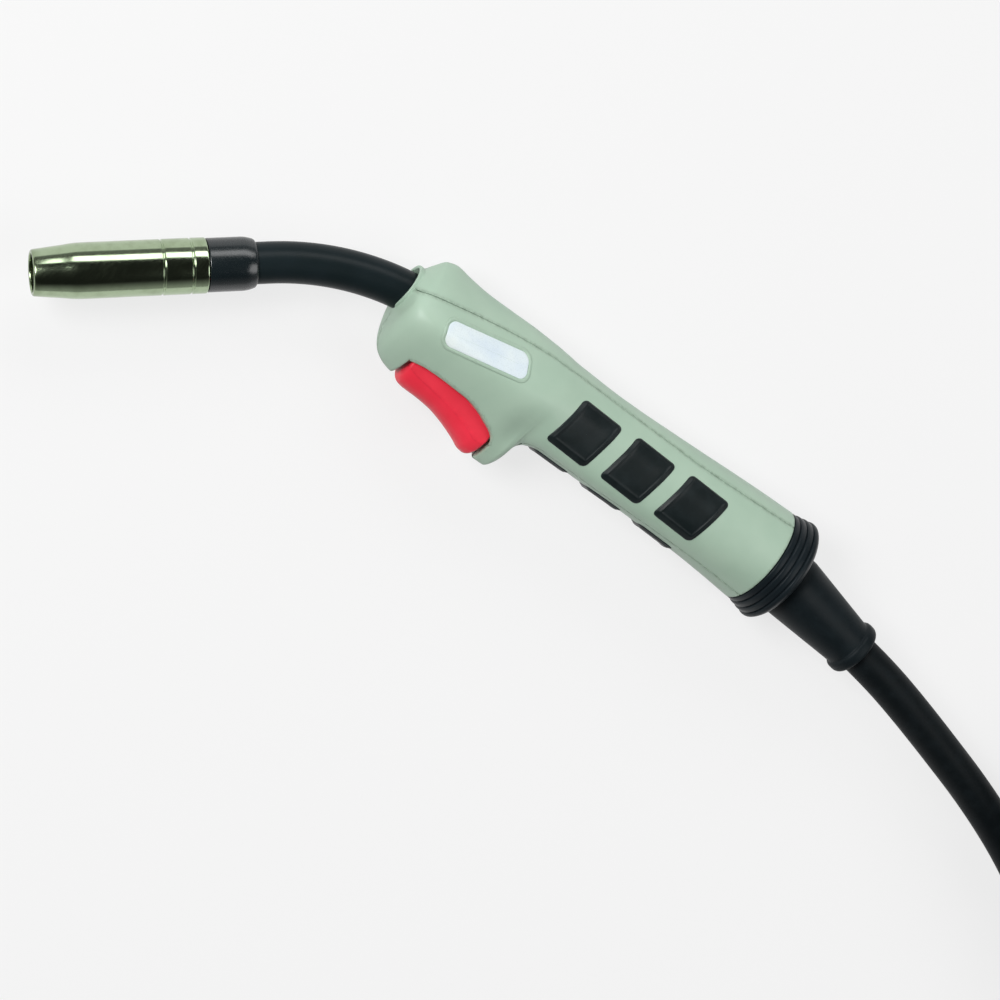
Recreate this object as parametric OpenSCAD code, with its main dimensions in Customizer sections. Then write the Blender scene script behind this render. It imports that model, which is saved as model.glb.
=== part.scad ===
// MIG welding torch with a pistol-free straight grip, a swan neck, a swivelling cable support,
// its lead wound into a coil and a central connector at the far end.
// The torch lies on its side on a bench: +X runs from the nozzle to the cable, +Z is up and is
// the torch's right side, +Y is the torch's top. Torch coordinates have their origin at the
// centre of the cable swivel: x along the grip, y towards the torch's top, z to its right side.

/* [Handle] */
// Length of the switch housing at the front of the handle
housing_len = 76; // [74:0.5:80]
// Length of the grip behind the switch housing
grip_len = 98; // [90:1:120]
// Width of the switch housing
housing_w = 42; // [40:0.5:43.5]
// Width of the grip at its waist
grip_w = 33.6; // [32:0.2:37]
// Diameter of the handle where it meets the collar
rear_d = 40.4; // [40:0.2:42]
// Wall thickness of the handle shells
wall = 2.5; // [2:0.1:2.8]
// Width of the strip along the handle's back
spine_w = 24; // [22:0.5:25]
// Width of the strip along the grip's belly
belly_w = 21; // [19:0.5:22]

/* [Grip pads] */
// Length of one grip pad
pad_len = 18; // [15:0.5:20]
// Height of a side pad
pad_h = 19.6; // [16:0.2:21]
// Distance between neighbouring pads
pad_pitch = 25.6; // [24:0.2:27]
// Thickness of a pad
pad_t = 2; // [1.6:0.1:2.2]
// How far a pad stands out of the shell
pad_proud = 0.7; // [0.4:0.1:1]

/* [Trigger] */
// Width of the trigger
trigger_w = 18.4; // [16:0.2:18.8]
// Diameter of the trigger's pivot pin
trigger_pin_d = 3; // [2.4:0.1:3.4]
// Diameter of the trigger's return spring
spring_d = 4.4; // [3.8:0.1:4.6]

/* [Neck] */
// Angle between the nozzle and the grip
neck_angle = 39.5; // [30:0.5:50]
// Bend radius of the neck's centre line
neck_r = 107; // [95:1:120]
// Straight length from the bend to the nozzle's mouth
head_len = 86.4; // [84:0.2:100]
// Outer diameter of the neck's insulating jacket
jacket_d = 15.4; // [14:0.1:15.8]
// Outer diameter of the conductor tube inside the neck
tube_d = 10; // [9:0.1:10.6]
// Bore of the conductor tube
tube_bore = 4.6; // [4.4:0.1:5]
// Outer diameter of the insulating sleeve behind the nozzle
sleeve_d = 19.7; // [19:0.1:20.4]
// Length of that sleeve
sleeve_len = 18; // [14:0.5:19]

/* [Nozzle and tip] */
// Length of the gas nozzle
nozzle_len = 63; // [60:0.5:68]
// Outer diameter of the gas nozzle
nozzle_d = 20.4; // [20:0.1:21]
// Outer diameter of the nozzle's mouth
mouth_d = 16.8; // [16.4:0.1:17.6]
// Bore of the nozzle's mouth
mouth_bore = 14; // [13:0.1:14.6]
// Diameter of the nozzle's seat on the insulator
seat_d = 16; // [15.6:0.1:16.4]
// Length of the seat
seat_len = 13; // [11:0.5:14]
// Distance of the contact tip behind the nozzle's mouth
tip_recess = 5; // [4.6:0.1:8]
// Length of the contact tip without its thread
tip_len = 28; // [24:0.5:29]
// Diameter of the contact tip
tip_d = 8; // [7:0.1:8.4]
// Bore of the contact tip for the welding wire
wire_bore = 1.2; // [0.9:0.1:1.6]

/* [Swivel and cable support] */
// Diameter of the swivel ball
ball_d = 28; // [27.6:0.1:28.4]
// Outer diameter of the rear collar
collar_d = 44; // [43.4:0.1:45]
// Length of the ribbed part of the collar
collar_len = 13.2; // [12.6:0.1:14]
// Angle of the cable support to the grip at rest
support_angle = 6.5; // [3:0.5:9]
// Length of the cable support from the swivel's centre to its end
support_len = 57; // [52:0.5:64]
// Diameter of the cable support at its thin end
support_d = 20.2; // [19.4:0.1:21]

/* [Cable] */
// Outer diameter of the cable
cable_d = 15.4; // [15:0.1:15.6]
// Diameter of the conductor bundle inside the handle
bundle_d = 9; // [8:0.1:9.4]
// Length of the straight runs of the hank that the cable is folded into
hank_run = 294; // [260:1:300]
// Radius of the hank's folds
fold_r = 47.5; // [47:0.5:49]
// Gap between turns that lie on each other
turn_gap = 0.5; // [0.45:0.05:0.8]

/* [Connector] */
// Outer diameter of the connector housing
plug_d = 40; // [38:0.2:41]
// Length of the connector housing
plug_len = 65; // [60:0.5:72]
// Outer diameter of the union nut
nut_d = 46.8; // [46:0.1:47]
// Diameter of the central plug
centre_pin_d = 10; // [9.6:0.1:10.4]
// Length of the central plug in front of the housing
centre_pin_len = 24; // [22:0.5:30]
// Diameter of the trigger contact pins
contact_d = 4; // [3.6:0.1:4.2]
// Distance of a contact pin from the central plug's axis
contact_offset = 11; // [10.4:0.1:12]
// Travel of a contact pin
contact_travel = 4; // [3:0.5:5]

/* [Hidden] */
$fn = 72;

// Clearances
slide_fit = 0.05;
seat_gap = 0.05;
part_gap = 0.3;

// Handle
handle_len = housing_len + grip_len;
front_x = -handle_len;
neck_y = -2.1;
bend_x = front_x + 21.2;
nose_r = jacket_d / 2 + 1.65;
arc_steps = 7;
// Stations of the housing are drawn at this length and follow the real one
housing_drawn = 76;
function station(d) = d * housing_len / housing_drawn;

// Head
head_dir = [-cos(neck_angle), -sin(neck_angle)];
bend_end = [bend_x - neck_r * sin(neck_angle), neck_y - neck_r * (1 - cos(neck_angle))];
mouth = bend_end + head_len * head_dir;
holder_d = tip_d + 3;
tip_end = tip_recess + tip_len;
insulator_s = nozzle_len - seat_len;
tube_s = insulator_s + 2;
sleeve_s = nozzle_len + part_gap;
sleeve_end = sleeve_s + sleeve_len;

// Swivel
ball_r = ball_d / 2;
race_r = ball_r + 1.8;
race_front = -8;
race_rear = 5.6;
spigot_len = 14;
spigot_r = rear_d / 2 - wall - 0.35;
collar_r = collar_d / 2;

// Cable support, measured along its own axis from the swivel's centre
support_dir = [cos(support_angle), -sin(support_angle), 0];
stem_r = 9;
stem_end = 38;
support_end = support_len * support_dir + [0, 0, collar_r];

// Cable hank: every turn has two straight runs and two folds and lies on the one before
hank_x = 222;
hank_y = -55;
hank_mid = hank_y + fold_r;
hank_turns = 3;
fold_step = 15;
run_steps = 5;
turn_pitch = cable_d + turn_gap;
// The cable climbs to the next turn over the end of its second run and half of its second fold
climb_run = 110;
climb_len = climb_run + PI * fold_r / 2;
// After the last turn it lies on the first run, then climbs so that the connector lies there too
rest_run = 30;
rise_len = 110;
rise_steps = 10;
tail_run = 8;

// Free cable from the cable support to the hank: x, y in torch coordinates, height over the bench
cable_route = [
    [76, -8.9, 21.3], [86, -10.6, 20.2], [96, -12.5, 18.8], [106, -14.5, 17.2],
    [118, -17, 15.2], [130, -19.6, 13.3], [142, -22.6, 11.6], [155, -26.4, 10.1],
    [168, -30.9, 8.8], [181, -36.3, 8], [194, -42.2, 7.75], [207, -47.8, 7.7],
    [220, -52.2, 7.7], [233, -54.5, 7.7]];

// Origin of the part: the middle of the torch's outline, at bench height
mouth_reach = mouth_d / 2;
low_corner = [mouth[0] - mouth_reach * sin(neck_angle), mouth[1] - mouth_reach * cos(neck_angle)];
support_tip_r = support_d / 2 + 1;
high_corner = [support_len * cos(support_angle) + support_tip_r * sin(support_angle), collar_r];
torch_origin = [-(low_corner[0] + high_corner[0]) / 2, -(low_corner[1] + high_corner[1]) / 2, 0];

// Connector, measured along its own axis from where the cable enters it
tail_len = 10;
housing_s = 34;
housing_end = housing_s + plug_len;
face_s = housing_end - 9;
face_end = housing_end + 5;
plug_wall = 3;

// ---- Outline of the handle ----
// One row for each cross-section: distance from the front face, top, bottom, half width,
// height of the widest line, fullness above it, fullness below it.
function housing_rows(w) = [
    [0.6, 6.4, -13.5, w - 9.5, -4, 0.50, 0.45],
    [1.8, 7.4, -20.5, w - 5.5, -6, 0.45, 0.42],
    [3.6, 10.2, -25.2, w - 3.4, -7, 0.38, 0.38],
    [6.4, 13.8, -28.2, w - 1.8, -7.6, 0.30, 0.34],
    [11, 15.1, -30.2, w - 0.7, -8, 0.26, 0.31],
    [17, 14.5, -31.2, w - 0.2, -8, 0.25, 0.30],
    [26, 14, -32.6, w, -8, 0.25, 0.30],
    [38, 14.4, -34.4, w, -7.6, 0.27, 0.30],
    [50, 14.9, -36.3, w - 0.1, -7, 0.32, 0.32],
    [59, 14.9, -37.6, w - 0.5, -6.2, 0.38, 0.36],
    [64, 14.7, -37.4, w - 1, -5.6, 0.42, 0.40],
    [66, 14.6, -35, w - 1.3, -5.3, 0.44, 0.42],
    [67, 14.5, -29.6, w - 1.5, -5.1, 0.45, 0.50],
    [68.5, 14.4, -25.4, w - 1.8, -4.9, 0.46, 0.60],
    [71, 14.3, -22.7, w - 2.3, -4.6, 0.47, 0.72]];
function grip_rows(w, r) = [
    [0, 14.3, -21, w + 0.9, -4, 0.48, 0.84],
    [0.10, 14.3, -20.6, w + 0.3, -3.4, 0.49, 0.88],
    [0.24, 14.8, -20.2, w, -2.7, 0.50, 0.88],
    [0.40, 15.9, -19.6, w + 0.2, -2.1, 0.51, 0.84],
    [0.56, 17.1, -19.3, w + 0.8, -1.5, 0.53, 0.76],
    [0.72, 18.4, -19.3, w + 1.7, -0.9, 0.54, 0.67],
    [0.86, 19.4, -19.6, w + 2.6, -0.4, 0.55, 0.60],
    [1, r, -r, r, 0, 0.5523, 0.5523]];
rows = concat(
    [for (h = housing_rows(housing_w / 2)) concat([station(h[0])], [for (c = [1:6]) h[c]])],
    [for (g = grip_rows(grip_w / 2, rear_d / 2))
        [housing_len + g[0] * grip_len, g[1], g[2], g[3], g[4], g[5], g[6]]]);

// Quarter of a cross-section as a cubic curve from its widest point [w, 0] to its top [0, h]
function quarter(w, h, k, n) = [for (i = [0:n - 1]) let (t = i / n, s = 1 - t)
    [w * (s * s * s + 3 * s * s * t + 3 * k * s * t * t),
     h * (3 * k * s * s * t + 3 * s * t * t + t * t * t)]];
function mirrored(points, z, y) = [for (p = points) [z * p[0], y * p[1]]];
function turned(points) = [for (i = [len(points) - 1:-1:0]) points[i]];
// Ring of a row, moved outwards by grow, with n steps in each quarter
function ring(row, grow, n) = let (
    w = row[3] + grow, up = row[1] + grow - row[4], down = row[4] - row[2] + grow,
    top = concat(quarter(w, up, row[5], n), [[0, up]]),
    low = concat(quarter(w, down, row[6], n), [[0, down]]),
    far_top = mirrored(top, -1, 1), near_top = turned(top),
    near_low = mirrored(low, 1, -1), far_low = turned(mirrored(low, -1, -1)))
    [for (p = concat(
        [for (i = [0:n - 1]) far_top[i]], [for (i = [0:n - 1]) near_top[i]],
        [for (i = [0:n - 1]) near_low[i]], [for (i = [0:n - 1]) far_low[i]]))
        [front_x + row[0], row[4] + p[1], p[0]]];

// Cross-section at a distance from the front face, and the handle's half width at a height
function row_at(d) = [for (c = [0:6]) lookup(d, [for (r = rows) [r[0], r[c]]])];
function side_z(x, y) = let (
    r = row_at(x - front_x), v = y - r[4], h = v > 0 ? r[1] - r[4] : r[4] - r[2],
    k = v > 0 ? r[5] : r[6])
    lookup(abs(v), [for (p = quarter(r[3], h, k, 10)) [p[1], p[0]]]);

// Closed solid through rings of equal count, capped flat at both ends
module skin(rings) {
    m = len(rings[0]);
    last = (len(rings) - 1) * m;
    polyhedron(
        points = [for (r = rings) each r],
        faces = concat(
            [[for (j = [0:m - 1]) j]],
            [for (i = [0:len(rings) - 2]) for (j = [0:m - 1]) let (k = (j + 1) % m)
                each [[i * m + j, (i + 1) * m + j, (i + 1) * m + k],
                    [i * m + j, (i + 1) * m + k, i * m + k]]],
            [[for (j = [m - 1:-1:0]) last + j]]),
        convexity = 6);
}

// Tube of a given radius along points, each ring square to the path
function unit(v) = v / norm(v);
function heading(points, i) = unit(points[min(i + 1, len(points) - 1)] - points[max(i - 1, 0)]);
function tube_ring(centre, direction, r, sides, turn) = let (
    side = unit(cross(direction, [0, 0, 1])), up = cross(side, direction))
    [for (j = [0:sides - 1]) let (a = turn + 360 * j / sides)
        centre + r * (cos(a) * side + sin(a) * up)];
module sweep_tube(points, r, sides, turn = 0) {
    skin([for (i = [0:len(points) - 1])
        turned(tube_ring(points[i], heading(points, i), r, sides, turn))]);
}

// ---- Helpers ----
// Moves torch coordinates to the part's frame
module place() {
    translate(torch_origin + [0, 0, collar_r]) children();
}
// Same, for pieces given by their height over the bench
module on_bench() {
    translate(torch_origin) children();
}
// Axis of the nozzle: s runs from the mouth towards the neck
module in_head() {
    translate([mouth[0], mouth[1], 0]) rotate([0, 0, neck_angle]) children();
}
module in_support() {
    rotate([0, 0, -support_angle]) children();
}
module in_plug() {
    translate([hank_x + rest_run + rise_len + tail_run + tail_len, hank_y, plug_z]) children();
}
// Solid of revolution about x, from [radius, x] points
module lathe(profile) {
    rotate([0, 90, 0]) rotate_extrude() polygon(profile);
}
module bar(x0, x1, r) {
    translate([x0, 0, 0]) rotate([0, 90, 0]) cylinder(h = x1 - x0, r = r);
}
module pipe(x0, x1, r, bore) {
    difference() {
        bar(x0, x1, r);
        bar(x0 - 1, x1 + 1, bore);
    }
}
module block(low, high) {
    translate(low) cube(high - low);
}
// Round bar across the torch, from z0 to z1
module cross_bar(x, y, z0, z1, r) {
    translate([x, y, z0]) cylinder(h = z1 - z0, r = r);
}
// Outline seen from the side, cut through the whole width w
module side_cut(outline, w) {
    translate([0, 0, -w / 2]) linear_extrude(w) polygon(outline);
}

// ---- Neck line ----
// Tube along the neck's line, from s_front on the nozzle's axis to x_rear in the handle
module neck_line(r, bore, s_front, x_rear) {
    in_head() pipe(s_front, head_len, r, bore);
    translate([bend_x, neck_y - neck_r, 0]) rotate([0, 0, 90])
        rotate_extrude(angle = neck_angle) translate([neck_r, 0]) difference() {
            circle(r);
            circle(bore);
        }
    translate([0, neck_y, 0]) pipe(bend_x, x_rear, r, bore);
}

// ---- Handle shells ----
trigger_x = front_x + station(22);
trigger_y = -17;
slot_front = front_x + station(14.6);
slot_rear = front_x + station(59);
// Opening for the trigger, seen from the side
slot_outline = [
    [slot_front, -50], [slot_front, -23.8],
    for (p = [[18, -22.9], [22.5, -22.2], [31, -21.9], [39, -21.9], [46, -23], [51, -24.7],
        [56.5, -27.2]]) [front_x + station(p[0]), p[1]],
    [slot_rear, -30.5], [slot_rear, -50]];
// Room for the trigger inside the shells
well_outline = [
    [slot_front, -50], [slot_front, -13.5], [slot_rear + 1, -13.5], [slot_rear + 1, -29],
    [slot_rear, -30.5], [slot_rear, -50]];
hook_floor = -23.5;
boss_r = 4.2;
screw_r = 1.4;
screw_head_r = 2.6;
screw_sink = 3;
screw_axes = [
    [front_x + station(9.8), -18.8], [front_x + station(63), -27], [front_x + housing_len + 19.6, -12.4],
    [-spigot_len - boss_r - 0.4, 7]];
// Height of the head's seat under the shell's surface
function seat_z(axis) = screw_sink - side_z(axis[0], axis[1]);
spine_y = -6.2;
belly_y = -9;
belly_x = front_x + station(68.4);

module nose() {
    translate([front_x, neck_y - 0.5, 0]) bar(-1.2, 13, nose_r);
}
module outer_form(grow = 0, n = 8) {
    skin([for (r = rows) ring(r, grow, n)]);
}
// Rows of the hollow inside: the hook behind the trigger stays solid
cavity_rows = [for (i = [2, 3, 4, 6, 8, 9, 14, 15, 17, 19, 21, len(rows) - 1]) let (r = rows[i])
    [r[0], r[1], r[0] > station(56) ? max(r[2], hook_floor) : r[2], r[3], r[4], r[5], r[6]]];
module cavity() {
    last = cavity_rows[len(cavity_rows) - 1];
    skin(concat([for (r = cavity_rows) ring(r, -wall, 6)],
        [ring(concat([handle_len + 1], [for (i = [1:6]) last[i]]), -wall, 6)]));
}
module spine_region() {
    rear_w = spine_w / 2;
    nose_w = nose_r + 0.4;
    rotate([-90, 0, 0]) translate([0, 0, spine_y]) linear_extrude(40) polygon([
        [front_x - 3, -nose_w], [front_x + station(6), -nose_w],
        [front_x + station(24), -rear_w + 0.6], [front_x + station(44), -rear_w], [1, -rear_w],
        [1, rear_w], [front_x + station(44), rear_w], [front_x + station(24), rear_w - 0.6],
        [front_x + station(6), nose_w], [front_x - 3, nose_w]]);
}
module belly_region() {
    block([belly_x, -60, -belly_w / 2], [1, belly_y, belly_w / 2]);
}
module screw_ways() {
    for (s = screw_axes) {
        cross_bar(s[0], s[1], -30, seat_z(s), screw_head_r + 0.2);
        cross_bar(s[0], s[1], -30, 9, screw_r + 0.1);
    }
}
// Posts that the shells are screwed together at, on one side
module bosses(side) {
    for (s = screw_axes) let (reach = side_z(s[0], s[1]) - wall / 2)
        cross_bar(s[0], s[1], side > 0 ? 0 : -reach, side > 0 ? reach : 0, boss_r);
}
// The neck's way through the nose, a little wider than its jacket
module neck_way() {
    r = (jacket_d / 2 + seat_gap) / cos(180 / moulding_fn);
    translate([bend_x, neck_y - neck_r, 0]) rotate([0, 0, 90])
        rotate_extrude(angle = 14, $fn = 4 * moulding_fn) translate([neck_r, 0]) circle(r, $fn = moulding_fn);
    translate([0, neck_y, 0]) bar(bend_x - 0.01, front_x + 30, r);
}
// All walls of the handle in one piece, before they are parted
module handle_walls() {
    difference() {
        union() {
            difference() {
                outer_form();
                cavity();
            }
            nose();
        }
        side_cut(slot_outline, 60);
        side_cut(well_outline, trigger_w + 1);
        neck_way();
        bar(-spigot_len - 0.2, 1, (spigot_r + seat_gap) / cos(180 / moulding_fn));
    }
}
// Smooth mouldings are meshed in one pass, with coarser circles
moulding_fn = 28;
module moulded() {
    $fn = moulding_fn;
    resize([0, 0, 0]) children();
}
module half_space(side) {
    block([front_x - 5, -60, side > 0 ? 0 : -40], [1, 40, side > 0 ? 40 : 0]);
}
module side_shell(side) {
    place() moulded() difference() {
        union() {
            difference() {
                intersection() {
                    handle_walls();
                    half_space(side);
                }
                spine_region();
                belly_region();
            }
            bosses(side);
        }
        side_pad_forms(side, -pad_t + pad_proud - 0.02);
        screw_ways();
    }
}
module right_shell() {
    color("#a9b8a6") side_shell(1);
}
module left_shell() {
    color("#a9b8a6") side_shell(-1);
}
module top_spine() {
    color("#a9b8a6") place() moulded() intersection() {
        handle_walls();
        spine_region();
    }
}
module belly_strip() {
    color("#a9b8a6") place() moulded() difference() {
        intersection() {
            handle_walls();
            belly_region();
        }
        belly_pad_forms(-pad_t + pad_proud - 0.02);
    }
}

// ---- Grip pads ----
pad_first_x = front_x + housing_len + 7.6;
pad_rise = 1.2;
pad_skew = 3.4;
pad_corner = 2;
belly_pad_w = 13;
function pad_x(i) = pad_first_x + i * pad_pitch;
function pad_y(i) = -5.5 + i * pad_rise;
// Slanted plate with round corners, seen from the side
module pad_plate(i, trim) {
    translate([pad_x(i), pad_y(i), 0])
        multmatrix([[1, pad_skew / pad_h, 0, 0], [0, 1, 0, 0], [0, 0, 1, 0]])
        offset(r = pad_corner, $fn = 20) square([pad_len - 2 * (pad_corner + trim),
            pad_h - 2 * (pad_corner + trim)], center = true);
}
// The pads' outline as a plug that reaches down to a given depth in the shell
module side_pad_forms(side, depth) {
    difference() {
        for (i = [0:2]) scale([1, 1, side]) translate([0, 0, 4]) linear_extrude(30) pad_plate(i, 0);
        outer_form(depth, 6);
    }
}
module side_pad(i, side) {
    color("#2a3233") place() moulded() difference() {
        intersection() {
            scale([1, 1, side]) translate([0, 0, 4]) linear_extrude(30) pad_plate(i, 0.1);
            outer_form(pad_proud, 6);
        }
        outer_form(pad_proud - pad_t, 6);
    }
}
module belly_pad_form(i, trim) {
    translate([pad_x(i) - 0.6, 0, 0]) rotate([90, 0, 0]) linear_extrude(40)
        offset(r = pad_corner, $fn = 20) square([pad_len - 1.6 - 2 * (pad_corner + trim),
            belly_pad_w - 2 * (pad_corner + trim)], center = true);
}
module belly_pad_forms(depth) {
    difference() {
        for (i = [0:2]) belly_pad_form(i, 0);
        outer_form(depth, 6);
    }
}
module belly_pad(i) {
    color("#2a3233") place() moulded() difference() {
        intersection() {
            belly_pad_form(i, 0.1);
            outer_form(pad_proud, 6);
        }
        outer_form(pad_proud - pad_t, 6);
    }
}
module right_pad_1() { side_pad(0, 1); }
module right_pad_2() { side_pad(1, 1); }
module right_pad_3() { side_pad(2, 1); }
module left_pad_1() { side_pad(0, -1); }
module left_pad_2() { side_pad(1, -1); }
module left_pad_3() { side_pad(2, -1); }
module belly_pad_1() { belly_pad(0); }
module belly_pad_2() { belly_pad(1); }
module belly_pad_3() { belly_pad(2); }

module shell_screws() {
    color("#3a3d3f") place() for (s = screw_axes) let (z = seat_z(s)) difference() {
        union() {
            cross_bar(s[0], s[1], z - 1.8, z, screw_head_r);
            cross_bar(s[0], s[1], z - 1, 8.6, screw_r);
        }
        translate([s[0], s[1], z - 2.4]) cylinder(h = 1.6, r = 1.2, $fn = 6);
    }
}

// ---- Swivel ----
rib_w = 2.4;
rib_gap = 0.5;
module rear_collar() {
    front_r = rear_d / 2;
    mouth_r = 16.4;
    shoulder_r = 14.6;
    color("#20272b") place() lathe(concat(
        [[race_r + slide_fit, -spigot_len], [spigot_r, -spigot_len], [spigot_r, 0], [front_r, 0]],
        [for (i = [0:3]) let (x = 0.5 + i * (rib_w + rib_gap), r = front_r + (collar_r - front_r) * i / 3)
            each [[r - 0.1, x], [r, x + 0.5], [r, x + rib_w - 0.3], [r - 0.8, x + rib_w],
                [r - 0.8, x + rib_w + rib_gap]]],
        [[collar_r - 1.6, collar_len - 0.7], [collar_r - 3.2, collar_len],
            [mouth_r + 0.6, collar_len], [mouth_r, collar_len - 0.6],
            [shoulder_r, race_rear + 0.6], [shoulder_r, race_rear + 0.2],
            [race_r + slide_fit, race_rear + 0.2]]));
}
module race_clip() {
    color("#8f9496") place() pipe(race_front - 2.6, race_front - 0.2, race_r + slide_fit, 12.6);
}
module swivel_race() {
    color("#d9d6c8") place() difference() {
        bar(race_front, race_rear, race_r);
        rotate([0, 90, 0]) sphere(ball_r + slide_fit);
    }
}
module swivel_ball() {
    flat = 10;
    mouth_wide = 9.2;
    mouth_deep = 6.9;
    core_r = 5.5;
    color("#2b3033") place() in_support() difference() {
        union() {
            sphere(ball_r);
            bar(0, stem_end, stem_r);
        }
        block([-20, -20, -20], [-flat, 20, 20]);
        rotate([0, 90, 0]) translate([0, 0, -flat - 0.01])
            cylinder(h = flat + 1, r1 = mouth_wide, r2 = mouth_deep);
        bar(0, stem_end + 1, core_r);
    }
}
module cable_support() {
    tip_r = support_d / 2;
    bead_r = tip_r + 1.1;
    bead = support_len - 5.4;
    color("#1b2124") place() in_support() difference() {
        lathe([[0, 10.6], [10.6, 10.6], [11.3, 11.2], [12.5, 13.2], [13.2, 16], [13.3, 18.4],
            [12.9, 22], [tip_r, bead - 0.6], [tip_r, bead], [bead_r - 0.4, bead + 0.6],
            [bead_r, bead + 1.6], [bead_r, support_len - 1.6], [bead_r - 0.5, support_len - 0.5],
            [bead_r - 1.4, support_len], [0, support_len]]);
        bar(10, stem_end + 0.2, stem_r + seat_gap);
        bar(stem_end, support_len + 1, cable_d / 2 + seat_gap);
    }
}
// End of the cable inside its support: jacket, then the stripped core up to the swivel's centre
module cable_core() {
    color("#2a2f31") place() in_support() {
        bar(stem_end + 0.4, support_len, cable_d / 2);
        bar(2, stem_end + 0.4, 5.4);
    }
}

// ---- Inside the handle ----
clamp_r = 8;
clamp_x = [bend_x + 8.4, bend_x + 36.8];
switch_x = [trigger_x + 10.6, trigger_x + 23.4];
switch_y = [-16.4, -10.3];
carrier_low = -16.4;
plunger_arm = 17.2;
plunger_r = 1;
module inner_carrier() {
    ear_x = [trigger_x - 4, trigger_x + 8];
    lug_w = housing_w / 2 - wall - 0.6;
    color("#33383a") place() difference() {
        union() {
            block([trigger_x + 3.6, carrier_low, -8], [trigger_x + 32, -3.4, 8]);
            for (side = [-1, 1]) scale([1, 1, side]) {
                block([ear_x[0], trigger_y - 2.4, 6], [ear_x[1], -12, 8]);
                block([trigger_x + 16, -9.4, 7.9], [trigger_x + 24, -6.4, lug_w]);
            }
        }
        translate([0, neck_y, 0]) bar(front_x, 0, clamp_r + seat_gap);
        block([switch_x[0] - 0.1, carrier_low - 1, -3], [trigger_x + 33, switch_y[1] + 0.4, 3]);
        cross_bar(trigger_x, trigger_y, -20, 20, trigger_pin_d / 2 + seat_gap);
    }
}
module neck_clamp() {
    color("#c9a24f") place() translate([0, neck_y, 0]) difference() {
        bar(clamp_x[0], clamp_x[1], clamp_r);
        bar(clamp_x[0] - 1, bend_x + 24, tube_d / 2 + seat_gap);
        bar(bend_x + 26, clamp_x[1] + 1, bundle_d / 2 + seat_gap);
        bar(bend_x, clamp_x[1], tube_bore / 2);
    }
}
module neck_tube() {
    color("#b98a4a") place() neck_line(tube_d / 2, tube_bore / 2, tube_s, bend_x + 23.9);
}
module neck_jacket() {
    color("#252d30") place()
        neck_line(jacket_d / 2, tube_d / 2 + seat_gap, sleeve_s + 4.4, bend_x + 8);
}
module wire_liner() {
    color("#9aa0a3") place() neck_line(2, 1, tip_end + 9.4, bend_x + 25.8);
}
module inner_cable() {
    color("#30363a") place() translate([0, neck_y, 0]) bar(bend_x + 26.2, -3, bundle_d / 2);
}
module switch_body() {
    color("#1e2224") place() difference() {
        block([switch_x[0], switch_y[0], -2.9], [switch_x[1], switch_y[1], 2.9]);
        translate([trigger_x + plunger_arm, switch_y[0] - 1, 0]) rotate([-90, 0, 0])
            cylinder(h = 4.4, r = plunger_r + slide_fit);
    }
}
module switch_plunger() {
    color("#c23b2e") place() translate([trigger_x + plunger_arm, trigger_top + 0.2, 0])
        rotate([-90, 0, 0]) cylinder(h = 4.6, r = plunger_r);
}
// Two wires from the switch's terminals along the conductor bundle
module switch_leads() {
    lead_r = 0.8;
    run_y = neck_y - bundle_d / 2 - lead_r - seat_gap;
    color("#c7b13a") place() for (z = [-1.4, 1.4]) sweep_tube([
        [switch_x[1] + 0.1, -13, z], [switch_x[1] + 4, -13, z], [clamp_x[1] + 1, -12.4, z],
        [clamp_x[1] + 6, run_y - 2, z], [clamp_x[1] + 12, run_y, z], [-16, run_y, z]],
        lead_r, 8);
}

// ---- Trigger ----
trigger_top = -20.2;
// Distance from the pivot, height of the edge between side and finger face, lowest height
trigger_rows = [
    [-5.6, -25.4, -29.2], [-4.6, -25.9, -31.3], [-3, -26.4, -32.5], [0, -26.9, -32.8],
    [6, -27.4, -32.7], [12, -28, -33], [18, -28.8, -34.1], [24, -30.2, -35.8],
    [28, -31.4, -37.2], [30.8, -32.4, -38.3], [33, -32.3, -38.4], [34.6, -31.6, -37.4],
    [35.7, -29.8, -34.4]];
function trigger_ring(row) = let (w = trigger_w / 2, x = trigger_x + station(row[0]), edge = row[1], low = row[2])
    [for (p = [[w, trigger_top], [w, edge + 1.2], [w - 0.4, edge], [w - 1.2, edge - 0.3 * (edge - low)],
        [w * 0.66, edge - 0.66 * (edge - low)], [w * 0.34, edge - 0.92 * (edge - low)], [0, low],
        [-w * 0.34, edge - 0.92 * (edge - low)], [-w * 0.66, edge - 0.66 * (edge - low)],
        [-w + 1.2, edge - 0.3 * (edge - low)], [-w + 0.4, edge], [-w, edge + 1.2], [-w, trigger_top]])
        [x, p[1], p[0]]];
module trigger() {
    ear_w = 11.4;
    spring_x = trigger_x + 7.2;
    color("#d8344a") place() difference() {
        union() {
            skin([for (r = trigger_rows) trigger_ring(r)]);
            cross_bar(trigger_x, trigger_y, -ear_w / 2, ear_w / 2, 3);
            block([trigger_x - 3, trigger_top - 0.5, -ear_w / 2], [trigger_x + 3, trigger_y, ear_w / 2]);
        }
        cross_bar(trigger_x, trigger_y, -20, 20, trigger_pin_d / 2 + slide_fit);
        translate([spring_x, trigger_top - 4.2, 0]) rotate([-90, 0, 0])
            cylinder(h = 10, r = spring_d / 2 + 0.3);
    }
}
module trigger_pin() {
    color("#8e9496") place() cross_bar(trigger_x, trigger_y, -9.6, 9.6, trigger_pin_d / 2);
}
module trigger_spring() {
    color("#9ba1a4") place() translate([trigger_x + 7.2, trigger_top - 4.1, 0]) rotate([-90, 0, 0])
        difference() {
            cylinder(h = carrier_low - trigger_top + 4, r = spring_d / 2);
            translate([0, 0, -1]) cylinder(h = 20, r = spring_d / 2 - 0.6);
        }
}

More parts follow.
